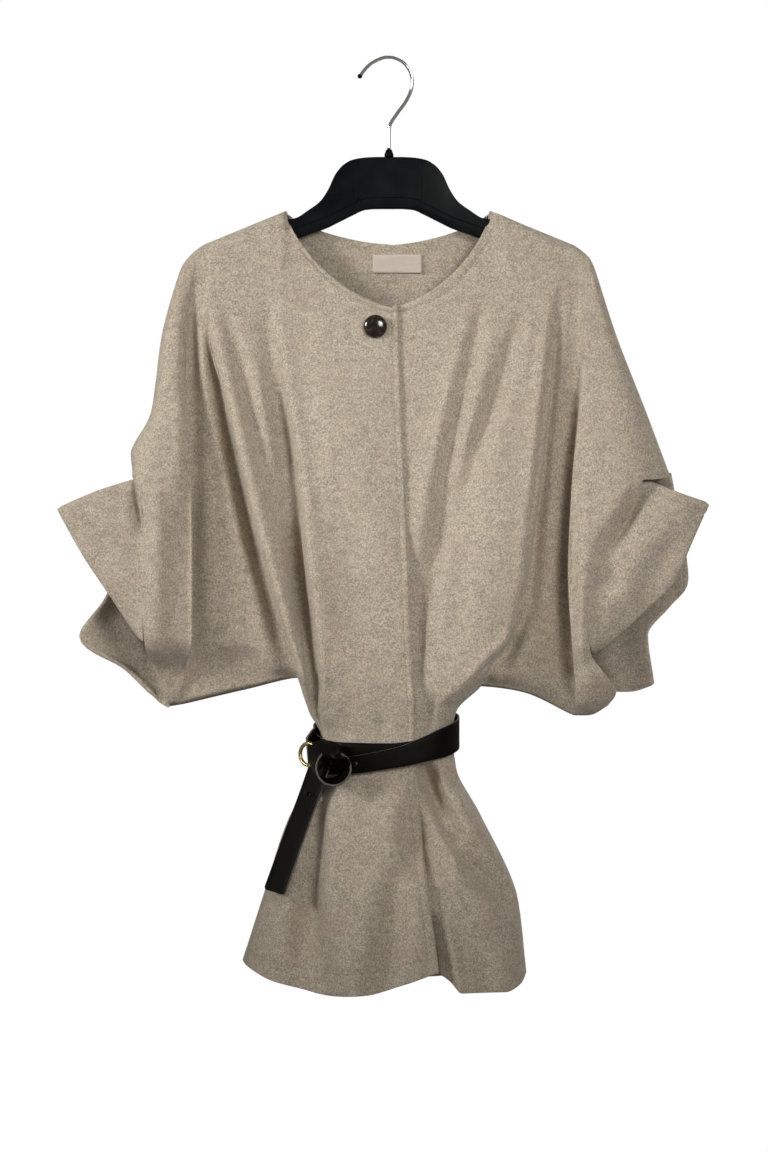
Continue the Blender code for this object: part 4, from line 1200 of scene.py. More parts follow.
def round_turns(count):
    return np.linspace(0, 2 * math.pi, count, endpoint=False)


def strap(path, across, widths, edge, closed=False):
    """A flat strap with softened corners along its middle line."""
    path = np.asarray(path, float)
    half = STRAP_T / 2
    cut = edge * STRAP_CORNER
    sections = []
    for p, t, w, width in zip(path, along(path, closed), np.asarray(across, float), widths):
        w = unit(w - np.dot(w, t) * t)
        n = np.cross(t, w)
        u = width / 2
        face = [(share * u, half) for share in (-STRAP_FACE, 0.0, STRAP_FACE)]
        face = [(-u + edge, half)] + face + [(u - edge, half)]
        ring = [(a, -b) for a, b in face]
        ring += [(u - cut, -half + cut), (u, -half + edge), (u, half - edge), (u - cut, half - cut)]
        ring += face[::-1]
        ring += [(-u + cut, half - cut), (-u, half - edge), (-u, -half + edge), (-u + cut, -half + cut)]
        sections.append([p + w * a + n * b for a, b in ring])
    return loft(sections, closed)


def tube(path, radius, sides, flat, closed=False):
    """A round wire along a path that lies in the plane across the direction flat."""
    path = np.asarray(path, float)
    flat = np.asarray(flat, float)
    sections = []
    for p, t in zip(path, along(path, closed)):
        v = unit(np.cross(t, flat))
        sections.append([p + radius * (math.cos(a) * flat + math.sin(a) * v) for a in round_turns(sides)])
    return loft(sections, closed)


def turned(profile, sides, origin, axis):
    """A round shape from (radius, rise) pairs along an axis."""
    axis = unit(axis)
    u = np.cross(UP, axis)
    u = unit(u) if np.linalg.norm(u) > NEAR else np.array([1.0, 0.0, 0.0])
    v = np.cross(axis, u)
    spokes = [math.cos(a) * u + math.sin(a) * v for a in round_turns(sides)]
    return loft([[origin + axis * h + r * spoke for spoke in spokes] for r, h in profile])


def dome(radius, edge, rise, steps):
    """Half profile of a domed disc with a rounded rim."""
    profile = [(radius * out, edge * up) for out, up in DOME_RIM]
    for k in range(steps):
        a = math.pi / 2 * k / steps
        profile.append((radius * DOME_SHOULDER * math.cos(a), edge + (rise - edge) * math.sin(a)))
    return profile + [(radius * DOME_TIP, rise)]


def line_through(points, steps):
    return through(np.asarray(points, float)[:, None], [even(steps)] * (len(points) - 1))[0]


def face_y(panel, x, z, reach):
    """Depths of a panel's outer face near a place in the front view."""
    near = np.hypot(panel.outer[:, 0] - x, panel.outer[:, 2] - z) < reach
    return panel.outer[near, 1]


class Wire:
    """A shader value that adds, subtracts and multiplies with numbers and with its own kind."""

    def __init__(self, nodes, socket):
        self.nodes = nodes
        self.socket = socket

    def maths(self, operation, a, b):
        return self.nodes.node("ShaderNodeMath", {"operation": operation}, {0: a, 1: b})

    def __add__(self, other):
        return self.maths("ADD", self, other)

    def __radd__(self, other):
        return self.maths("ADD", other, self)

    def __sub__(self, other):
        return self.maths("SUBTRACT", self, other)

    def __rsub__(self, other):
        return self.maths("SUBTRACT", other, self)

    def __mul__(self, other):
        return self.maths("MULTIPLY", self, other)

    def __rmul__(self, other):
        return self.maths("MULTIPLY", other, self)

    def between(self, low, high):
        """0 below low, 1 above high and smooth between them."""
        return self.nodes.node("ShaderNodeMapRange", {"interpolation_type": "SMOOTHSTEP"},
                               {"Value": self, "From Min": low, "From Max": high})


class Nodes:
    """The nodes of a material or of the world."""

    def __init__(self, tree):
        self.tree = tree

    def node(self, kind, settings, sockets, output=0):
        """Any node, its settings first and then its sockets. Returns one of its outputs."""
        made = self.tree.nodes.new(kind)
        for key, value in settings.items():
            setattr(made, key, value)
        for key, value in sockets.items():
            self.feed(made.inputs[key], value)
        return Wire(self, made.outputs[output])

    def feed(self, socket, value):
        """Links a socket to a wire, or sets it to a constant."""
        if isinstance(value, Wire):
            self.tree.links.new(value.socket, socket)
        else:
            socket.default_value = value

    def camera_sees(self, share, lit, seen, target):
        """Shows one shader to the camera, by a share, and the other to the light."""
        path = self.node("ShaderNodeLightPath", {}, {}, "Is Camera Ray")
        mixed = self.node("ShaderNodeMixShader", {}, {0: path * share, 1: lit, 2: seen})
        self.feed(self.tree.nodes[target].inputs["Surface"], mixed)


class Paint(Nodes):
    """A material in the making."""

    def __init__(self, name, rough, metal=0.0):
        self.material = bpy.data.materials.new(name)
        self.material.use_nodes = True
        super().__init__(self.material.node_tree)
        self.shader = self.tree.nodes["Principled BSDF"]
        self.set("Roughness", rough)
        self.set("Metallic", metal)

    def place(self, stretch=(1.0, 1.0, 1.0)):
        """Places on the object in metres, stretched."""
        spot = self.node("ShaderNodeTexCoord", {}, {}, "Object")
        return self.node("ShaderNodeVectorMath", {"operation": "MULTIPLY"}, {0: spot, 1: stretch})

    def grain(self, spot, scale, detail=2.0, rough=0.5):
        sockets = {"Vector": spot, "Scale": scale, "Detail": detail, "Roughness": rough}
        return self.node("ShaderNodeTexNoise", {}, sockets)

    def cells(self, spot, scale):
        return self.node("ShaderNodeTexVoronoi", {}, {"Vector": spot, "Scale": scale}, "Distance")

    def mix(self, share, a, b):
        """From colour a to colour b."""
        return self.node("ShaderNodeMix", {"data_type": "RGBA"}, {0: share, 6: a, 7: b}, 2)

    def bump(self, height, strength, distance):
        """Roughens the face with small heights."""
        sockets = {"Strength": strength, "Distance": distance, "Height": height}
        self.set("Normal", self.node("ShaderNodeBump", {}, sockets))

    def set(self, name, value):
        self.feed(self.shader.inputs[name], value)


def tone(colour, factor):
    return (*(min(c * factor, 1.0) for c in colour), 1.0)


def wool_paint(cloth):
    """Brushed wool, flecked light and dark, with a nap that catches the light."""
    paint = Paint("flecked wool", 0.92)
    base = tuple(cloth.colour)
    spot = paint.place()
    flecks = paint.grain(spot, 560.0, 2.0, 0.6)
    fine = paint.grain(spot, 1500.0, 2.0, 0.6)
    dots = paint.grain(paint.place((1.0, 1.0, 1.25)), 760.0, 1.0, 0.5)
    cloud = paint.grain(paint.place((0.8, 1.0, 1.5)), 95.0, 3.0, 0.6)
    drift = paint.grain(spot, 30.0, 2.0, 0.5)
    blend = flecks * 0.56 + fine * 0.25 + cloud * 0.19
    colour = paint.mix(blend.between(0.37, 0.63), tone(base, 0.62), tone(base, 1.31))
    colour = paint.mix(flecks.between(0.60, 0.74) * 0.5, colour, tone((0.66, 0.59, 0.49), 1.0))
    colour = paint.mix((1.0 - dots.between(0.24, 0.38)) * 0.6, colour, tone((0.20, 0.155, 0.12), 1.0))
    warm = tone((base[0] * 1.03, base[1] * 0.90, base[2] * 0.88), 0.95)
    colour = paint.mix(drift.between(0.42, 0.72) * 0.24, colour, warm)
    paint.set("Base Color", colour)
    paint.set("Roughness", 0.86 + fine * 0.12)
    paint.bump(flecks * 0.6 + fine * 0.3 + dots * 0.3, 0.6, 0.0012)
    paint.set("Sheen Weight", 0.16)
    paint.set("Sheen Roughness", 0.5)
    paint.set("Specular IOR Level", 0.2)
    return paint.material


def thread_paint(cloth):
    paint = Paint("sewing thread", 0.7)
    base = tuple(cloth.colour)
    twist = paint.grain(paint.place(), 900.0, 2.0)
    paint.set("Base Color", paint.mix(twist.between(0.35, 0.65), tone(base, 0.52), tone(base, 0.85)))
    paint.bump(twist, 0.4, 0.0004)
    return paint.material


def leather_paint(belt):
    """Dark leather with a fine grain, worn a little lighter in places."""
    paint = Paint("dark leather", 0.45)
    base = tuple(belt.colour)
    spot = paint.place()
    wear = paint.grain(spot, 55.0, 4.0, 0.6)
    pores = paint.cells(spot, 1050.0)
    creases = paint.grain(paint.place((1.0, 1.0, 0.35)), 240.0, 3.0, 0.6)
    paint.set("Base Color", paint.mix(wear.between(0.42, 0.72), tone(base, 0.8), tone(base, 2.2)))
    paint.set("Roughness", 0.40 + wear * 0.24)
    paint.bump(pores * 0.6 + creases * 0.7, 0.35, 0.0006)
    paint.set("Specular IOR Level", 0.10)
    return paint.material


def cut_leather_paint(belt):
    paint = Paint("cut leather edge", 0.7)
    fibres = paint.grain(paint.place((1.0, 1.0, 2.5)), 420.0, 3.0, 0.65)
    base = tuple(belt.edge_colour)
    paint.set("Base Color", paint.mix(fibres.between(0.35, 0.68), tone(base, 0.5), tone(base, 1.35)))
    paint.bump(fibres, 0.5, 0.0005)
    return paint.material


def metal_paint(name, base, rough, dull):
    """Plated metal with faint marks of wear."""
    paint = Paint(name, rough, 1.0)
    marks = paint.grain(paint.place((1.0, 1.0, 0.4)), 380.0, 3.0, 0.6)
    paint.set("Base Color", paint.mix(marks.between(0.4, 0.75), tone(base, 1.0), tone(base, dull)))
    paint.set("Roughness", rough * 0.8 + marks * rough * 0.5)
    return paint.material


def plastic_paint():
    paint = Paint("satin black plastic", 0.4)
    grain = paint.grain(paint.place(), 1500.0, 2.0)
    dust = paint.grain(paint.place(), 60.0, 4.0, 0.6)
    dull = paint.mix(dust.between(0.4, 0.75), (0.0018, 0.0024, 0.0029, 1.0), (0.0045, 0.0054, 0.006, 1.0))
    paint.set("Base Color", dull)
    paint.set("Roughness", 0.33 + dust * 0.16)
    paint.bump(grain, 0.18, 0.0003)
    paint.set("Specular IOR Level", 0.08)
    return paint.material


def horn_paint():
    """Polished horn, brown with amber clouds."""
    paint = Paint("polished horn", 0.14)
    spot = paint.place((1.0, 0.6, 1.5))
    cloud = paint.grain(spot, 150.0, 4.0, 0.6)
    veins = paint.grain(paint.place((2.2, 1.0, 0.7)), 320.0, 3.0, 0.55)
    colour = paint.mix(cloud.between(0.46, 0.70), (0.006, 0.004, 0.003, 1.0), (0.060, 0.031, 0.012, 1.0))
    paint.set("Base Color", paint.mix(veins.between(0.58, 0.74) * 0.5, colour, (0.13, 0.085, 0.035, 1.0)))
    paint.set("Roughness", 0.10 + cloud * 0.10)
    paint.set("Coat Weight", 0.5)
    paint.set("Coat Roughness", 0.06)
    return paint.material


def label_paint():
    """Cream woven tape."""
    paint = Paint("woven cream tape", 0.85)
    spot = paint.place((1.0, 0.2, 1.0))
    weft = paint.node("ShaderNodeTexWave", {"bands_direction": "Z"}, {"Vector": spot, "Scale": 380.0}, 1)
    warp = paint.node("ShaderNodeTexWave", {"bands_direction": "X"}, {"Vector": spot, "Scale": 310.0}, 1)
    slub = paint.grain(paint.place((0.3, 1.0, 1.6)), 300.0, 2.0)
    weave = weft * 0.5 + warp * 0.5
    colour = paint.mix(weave * 0.35 + slub * 0.5, (0.50, 0.42, 0.35, 1.0), (0.74, 0.65, 0.56, 1.0))
    paint.set("Base Color", colour)
    paint.bump(weave, 0.4, 0.0004)
    return paint.material


def floor_paint():
    """A pale floor, lighter to the camera than the light on it."""
    paint = Paint("pale studio floor", 0.75)
    cloud = paint.grain(paint.place(), 3.0, 3.0)
    paint.set("Base Color", paint.mix(cloud, (0.80, 0.80, 0.79, 1.0), (0.86, 0.86, 0.85, 1.0)))
    pale = paint.node("ShaderNodeEmission", {}, {"Color": (0.92, 0.92, 0.91, 1.0)})
    paint.camera_sees(FLOOR_PALE, Wire(paint, paint.shader.outputs[0]), pale, "Material Output")
    return paint.material


PAINTS = {}
MADE = {}


def painted(name, maker, *given):
    """A material made once and shared."""
    if name not in PAINTS:
        PAINTS[name] = maker(*given)
    return PAINTS[name]


def make_piece(name, shape, paints, nodes=(), sides=None):
    """Adds a piece, its points in millimetres, and ties it to the frame."""
    points, faces = shape
    mesh = bpy.data.meshes.new(name)
    mesh.from_pydata((np.asarray(points, float) * MM).tolist(), [], faces)
    if mesh.validate():
        raise RuntimeError(name + " had faces that don't hold")
    for paint in paints:
        mesh.materials.append(paint)
    for k, face in enumerate(mesh.polygons):
        face.use_smooth = True
        face.material_index = 0 if sides is None else sides[k]
    mesh.update()
    made = bpy.data.objects.new(name, mesh)
    bpy.context.scene.collection.objects.link(made)
    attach(made, "root")
    if nodes:
        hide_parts(*nodes)
    return made


def punch(piece, shape):
    """Cuts a shape out of a piece."""
    mesh = bpy.data.meshes.new("punch")
    mesh.from_pydata((np.asarray(shape[0]) * MM).tolist(), [], shape[1])
    tool = bpy.data.objects.new("punch", mesh)
    bpy.context.scene.collection.objects.link(tool)
    cut = piece.modifiers.new("hole", "BOOLEAN")
    cut.operation = "DIFFERENCE"
    cut.object = tool
    bpy.context.view_layer.update()
    ready = piece.evaluated_get(bpy.context.evaluated_depsgraph_get())
    done = bpy.data.meshes.new_from_object(ready)
    piece.modifiers.remove(cut)
    if len(done.polygons) <= len(piece.data.polygons):
        raise RuntimeError(piece.name + " wasn't punched")
    piece.data = done
    bpy.data.objects.remove(tool)
    bpy.data.meshes.remove(mesh)


def on_line(line, at, place):
    """The point of a line at a length along it."""
    return np.array([np.interp(place, at, line[:, k]) for k in range(3)])


def stitches(path, out, cloth):
    """Short stitches along a sewn line."""
    step = np.linalg.norm(np.diff(path, axis=0), axis=1)
    at = np.concatenate([[0.0], np.cumsum(step)])
    long = cloth.stitch_length / MM
    radius = cloth.thread / MM / 2
    shapes = []
    for s in np.arange(long, at[-1] - long, long + cloth.stitch_gap / MM):
        spot = on_line(path, at, s)
        run = unit(on_line(path, at, s + STITCH_LOOK) - on_line(path, at, s - STITCH_LOOK))
        normal = on_line(out, at, s)
        normal = unit(normal - np.dot(normal, run) * run)
        side = np.cross(run, normal)
        sections = []
        for share, wide, lift in STITCH_FORM:
            middle = spot + run * share * long + normal * radius * lift
            sections.append([middle + radius * wide * (math.cos(a) * side + math.sin(a) * normal)
                             for a in round_turns(STITCH_SIDES)])
        shapes.append(loft(sections))
    return shapes


def lay_strap(belt, name, path, across, widths, node=None, closed=False, plain=False):
    """Adds a stretch of the strap. A plain one's cut edges are painted dark leather, as painted shade."""
    count = len(path)
    across = np.broadcast_to(across, (count, 3))
    shape = strap(path, across, np.broadcast_to(widths, count), belt.edge_round / MM, closed)
    sides = [1 if k % STRAP_SIDES in CUT_SIDES else 0 for k in range(len(shape[1]))]
    if not closed:
        sides[-2:] = [1, 1]
    leather = painted("leather", leather_paint, belt)
    cut = leather if plain else painted("cut leather", cut_leather_paint, belt)
    return make_piece(name, shape, [leather, cut], [node] if node else (), sides)


def wind_wraps(belt):
    """The two wraps round the waist, the second run on to the ring."""
    table = np.array(FIRST_WRAP)
    turns = np.linspace(-180, 180, FIRST_WRAP_STEPS, endpoint=False)
    heights, widths = monotone(table[:, 0], table[:, 1:], turns).T
    first = [(*waist_ring(turn, FIRST_OUT), height) for turn, height in zip(turns, heights)]
    lay_strap(belt, "belt_under_wrap", first, UP, widths, "belt_first_wrap", closed=True)
    table = np.array(SECOND_WRAP)
    turns = np.arange(table[0, 0], table[-1, 0] + NEAR, SECOND_WRAP_STEP)
    rows = [WRAP_START] + [(turn, *monotone(table[:, 0], table[:, 1:], turn)[0]) for turn in turns]
    second = [(*waist_ring(turn, SECOND_OUT), height) for turn, height, _ in rows] + list(STRAP_END)
    line = line_through(second, SECOND_WRAP_FINE)
    at = np.linspace(0, len(second) - 1, len(line))
    widths = np.interp(at, np.arange(len(rows)), [width for _, _, width in rows])
    lay_strap(belt, "belt_over_wrap", line, UP, widths, "belt_second_wrap")


def tie_knot(belt):
    """The knot's loop, and the fold of the strap over it."""
    loop = []
    for share in np.linspace(0, 1, KNOT_STEPS):
        a = math.radians(KNOT_FROM + KNOT_TURN * share)
        r = KNOT_R + (KNOT_CORE_R - KNOT_R) * share
        loop.append((KNOT_X + r * math.cos(a), KNOT_BACK_Y - KNOT_W / 2, KNOT_Z + r * math.sin(a)))
    lay_strap(belt, "belt_knot", loop, KNOT_LEAN, KNOT_W, "belt_knot")
    fold = np.array(KNOT_FOLD)
    line = line_through(fold[:, :3], KNOT_FOLD_STEPS)
    lean = np.interp(np.linspace(0, 1, len(line)), np.linspace(0, 1, len(fold)), np.radians(fold[:, 3]))
    across = np.stack([np.sin(lean), np.zeros(len(lean)), np.cos(lean)], axis=1)
    # The fold's cut edges are painted the dark face leather, as painted shade inside the knot's loop.
    lay_strap(belt, "belt_knot_fold", line, across, KNOT_FOLD_W, plain=True)


def hang_tail(belt):
    """The strap's free end, with rounded corners and a punched hole."""
    rows = np.array((TAIL_TOP,) + TAIL)
    line = line_through(rows[:, :3], TAIL_STEPS)
    turns = np.radians(np.interp(-line[:, 2], -rows[:, 2], rows[:, 3]))
    across = np.stack([np.cos(turns), -np.sin(turns), np.zeros(len(turns))], axis=1)
    steps = np.linalg.norm(np.diff(line, axis=0), axis=1)
    to_end = np.append(np.cumsum(steps[::-1])[::-1], 0.0)
    inside = np.clip(TAIL_ROUND - to_end, 0, TAIL_ROUND)
    widths = STRAP_W - 2 * (TAIL_ROUND - np.sqrt(TAIL_ROUND ** 2 - inside ** 2))
    tail = lay_strap(belt, "belt_tail", line, across, widths, "belt_tail")
    at = row_at(line[:, 2], TAIL_HOLE_Z)
    hole = [(belt.hole / MM / 2, end * STRAP_T) for end in (-1, 1)]
    punch(tail, turned(hole, TAIL_HOLE_SIDES, line[at], np.cross(along(line)[at], across[at])))


class ClothSettings(bpy.types.PropertyGroup):
    """Cloth, its sewing and its colour."""

    thickness: FloatProperty(name="Thickness", description="Thickness of the cloth", default=0.0022,
                             unit="LENGTH", subtype="DISTANCE")
    soften_rounds: IntProperty(name="Softening", description="Rounds of rounding off the folds", default=4,
                               subtype="UNSIGNED")
    crease_gain: FloatProperty(name="Creases", description="Strength of the creases", default=1.35,
                               subtype="FACTOR")
    band_rise: FloatProperty(name="Band rise", description="Height of a sewn band over the cloth",
                             default=0.0007, unit="LENGTH", subtype="DISTANCE")
    seam_sink: FloatProperty(name="Seam sink", description="Depth of a sewn line", default=0.0013,
                             unit="LENGTH", subtype="DISTANCE")
    stitch_length: FloatProperty(name="Stitch length", description="Length of a stitch", default=0.0032,
                                 unit="LENGTH", subtype="DISTANCE")
    stitch_gap: FloatProperty(name="Stitch gap", description="Space between stitches", default=0.0014,
                              unit="LENGTH", subtype="DISTANCE")
    thread: FloatProperty(name="Thread", description="Thickness of the thread", default=0.0009,
                          unit="LENGTH", subtype="DISTANCE")
    colour: FloatVectorProperty(name="Colour", description="Colour of the wool",
                                default=(0.445, 0.384, 0.297), subtype="COLOR")


class BeltSettings(bpy.types.PropertyGroup):
    """Leather strap."""

    edge_round: FloatProperty(name="Edge", description="Rounding of the strap's corners", default=0.0007,
                              unit="LENGTH", subtype="DISTANCE")
    hole: FloatProperty(name="Hole", description="Diameter of the punched hole", default=0.0046,
                        unit="LENGTH", subtype="DISTANCE")
    colour: FloatVectorProperty(name="Colour", description="Colour of the leather",
                                default=(0.0016, 0.0012, 0.0009), subtype="COLOR")
    edge_colour: FloatVectorProperty(name="Edge colour", description="Colour of the cut edge",
                                     default=(0.12, 0.10, 0.085), subtype="COLOR")


class HangerSettings(bpy.types.PropertyGroup):
    """Hanger and hook."""

    edge_round: FloatProperty(name="Edge", description="Rounding of the moulded edges", default=0.0011,
                              unit="LENGTH", subtype="DISTANCE")
    rib: FloatProperty(name="Rib", description="Height of the moulded lines", default=0.0005,
                       unit="LENGTH", subtype="DISTANCE")
    tip: FloatProperty(name="Tip", description="Radius of the ball on the hook's end", default=0.0027,
                       unit="LENGTH", subtype="DISTANCE")


class StageSettings(bpy.types.PropertyGroup):
    """Floor, light and camera."""

    distance: FloatProperty(name="Camera distance", description="From the camera to the garment",
                            default=4.5, unit="LENGTH", subtype="DISTANCE")
    frame_height: FloatProperty(name="Frame height", description="Height that the picture shows",
                                default=1.267, unit="LENGTH", subtype="DISTANCE")
    floor_z: FloatProperty(name="Floor", description="Height of the floor", default=-1.75,
                           unit="LENGTH", subtype="DISTANCE")
    key: FloatProperty(name="Key light", description="Power of the light at the upper left",
                       default=2.2, unit="POWER")
    fill: FloatProperty(name="Front light", description="Power of the light at the front",
                        default=2.4, unit="POWER")
    back: FloatProperty(name="Back light", description="Power of the light behind",
                        default=16.0, unit="POWER")
    sky: FloatProperty(name="Sky", description="Strength of the even light all round",
                       default=0.2, subtype="FACTOR")


class PONCHO_OT_panels(bpy.types.Operator):
    """Makes the two fronts and the back as thin cloth on their solids' form"""

    bl_idname = "poncho.panels"
    bl_label = "Cloth panels"

    def execute(self, context):
        cloth = context.scene.poncho_cloth
        levels = row_levels()
        right, right_ids, left, left_ids = make_fronts(levels, cloth)
        back, back_ids = make_back(levels, cloth)
        MADE.update(levels=levels, right=right, right_ids=right_ids, left=left, left_ids=left_ids,
                    back=back, back_ids=back_ids)
        wool = painted("wool", wool_paint, cloth)
        for name, panel, node, flat, area in (("right_front", right, "front_right", (0.47, 0.89), 0.224),
                                              ("left_front", left, "front_left", (0.47, 0.89), 0.213),
                                              ("back_panel", back, "back", (0.90, 0.87), 0.420)):
            made = make_piece(name, panel.shell(), [wool], [node])
        return {"FINISHED"}


class PONCHO_OT_topstitching(bpy.types.Operator):
    """Sews the neck band, the front edge, the hem and the cuff"""

    bl_idname = "poncho.topstitching"
    bl_label = "Topstitching"

    def execute(self, context):
        cloth = context.scene.poncho_cloth
        levels = MADE["levels"]
        neck = row_at(levels, SEWN_ROWS["ridge"][0])
        hem = row_at(levels, THIGH + SEWN_ROWS["thigh"][0])
        cuff = row_at(levels, ELBOW + SEWN_ROWS["elbow"][0]) - row_at(levels, ELBOW)
        edge = 1 + sewn(RIGHT_ACROSS[0], *EDGE_SEAM).index(EDGE_SEAM[0])
        right, left, back = MADE["right"], MADE["left"], MADE["back"]
        own = MADE["right_ids"]
        lines = [(right, own["body"][neck, edge:own["corner"][0] - NECK_FREE]),
                 (right, own["body"][neck:hem + 1, edge]),
                 (right, own["body"][hem, edge:-SIDE_FREE])]
        own = MADE["left_ids"]
        lines += [(left, own["body"][neck, LEFT_ACROSS[0] + LAP_FREE:own["corner"][0] - NECK_FREE]),
                  (left, own["body"][hem, HEM_FREE:-SIDE_FREE]),
                  (left, own["end"][cuff, END_ACROSS[0]:-1])]
        for own in MADE["back_ids"].values():
            lines += [(back, own["body"][neck, :own["corner"][0] - NECK_FREE]),
                      (back, own["body"][hem, :-SIDE_FREE])]
        shapes = []
        for panel, ids in lines:
            shapes += stitches(panel.outer[ids], panel.out[ids], cloth)
        make_piece("topstitching", joined(*shapes), [painted("thread", thread_paint, cloth)])
        return {"FINISHED"}


class PONCHO_OT_button(bpy.types.Operator):
    """Sets the domed button on the right front"""

    bl_idname = "poncho.button"
    bl_label = "Button"

    def execute(self, context):
        under = face_y(MADE["right"], BUTTON_X, BUTTON_Z, BUTTON_R)
        origin = np.array([BUTTON_X, float(under.min()) - REST_GAP, BUTTON_Z])
        profile = dome(BUTTON_R, BUTTON_EDGE, BUTTON_RISE, BUTTON_STEPS)
        shape = turned(profile, BUTTON_SIDES, origin, (0, OUTWARD["front"], 0))
        make_piece("coat_button", shape, [painted("horn", horn_paint)], ["button"])
        return {"FINISHED"}


class PONCHO_OT_label(bpy.types.Operator):
    """Hangs the bare woven label inside the back neck"""

    bl_idname = "poncho.label"
    bl_label = "Label"

    def execute(self, context):
        back = MADE["back"]
        low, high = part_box("label")
        heights = np.linspace(high[2], low[2], LABEL_ROWS) / MM
        down = smooth(*LABEL_CURL_DOWN, np.linspace(0, 1, LABEL_ROWS))
        sections = []
        for x in np.linspace(low[0], high[0], LABEL_COLUMNS) / MM:
            out = abs(x - LABEL_MID_X) / (LABEL_W / 2)
            curl = LABEL_CURL * down * smooth(*LABEL_CURL_OUT, out)
            ring = []
            for z, off in zip(heights, curl):
                near = np.argsort((back.inner[:, 0] - x) ** 2 + (back.inner[:, 2] - z) ** 2)[:LABEL_NEAR]
                ring.append((x, back.inner[near, 1].min() - REST_GAP - off, z))
            sections.append(ring + [(x, y - LABEL_T, z) for x, y, z in ring[::-1]])
        tape = painted("tape", label_paint)
        made = make_piece("neck_label", loft(sections), [tape], ["label"])
        return {"FINISHED"}


class PONCHO_OT_belt(bpy.types.Operator):
    """Winds the leather strap twice round the waist, with its knot and its tail"""

    bl_idname = "poncho.belt"
    bl_label = "Belt"

    def execute(self, context):
        belt = context.scene.poncho_belt
        wind_wraps(belt)
        tie_knot(belt)
        hang_tail(belt)
        return {"FINISHED"}


class PONCHO_OT_belt_metal(bpy.types.Operator):
    """Adds the brass ring and the rivet of the belt"""

    bl_idname = "poncho.belt_metal"
    bl_label = "Belt ring and rivet"

    def execute(self, context):
        brass = painted("brass", metal_paint, "satin brass", (0.56, 0.43, 0.19), 0.26, 0.72)
        yaw = math.radians(RING_YAW)
        side = np.array([math.cos(yaw), math.sin(yaw), 0.0])
        flat = np.array([-math.sin(yaw), math.cos(yaw), 0.0])
        middle = np.array([RING_X, RING_Y, RING_Z])
        ring = [middle + RING_R * (math.cos(a) * side + math.sin(a) * np.array(UP))
                for a in round_turns(RING_STEPS)]
        shape = tube(ring, RING_WIRE, RING_SIDES, flat, closed=True)
        make_piece("belt_ring", shape, [brass], ["belt_ring"])
        x, y = waist_ring(RIVET_TURN, SECOND_OUT + STRAP_T / 2 + REST_GAP)
        ahead, behind = (waist_ring(RIVET_TURN + look, SECOND_OUT) for look in (RIVET_LOOK, -RIVET_LOOK))
        out = (ahead[1] - behind[1], behind[0] - ahead[0], 0.0)
        profile = dome(RIVET_R, RIVET_EDGE, RIVET_RISE, RIVET_STEPS)
        shape = turned(profile, RIVET_SIDES, np.array([x, y, RIVET_Z]), out)
        dark = painted("dark metal", metal_paint, "blackened brass", (0.06, 0.048, 0.036), 0.32, 0.5)
        make_piece("belt_rivet", shape, [dark], ["belt_rivet"])
        return {"FINISHED"}


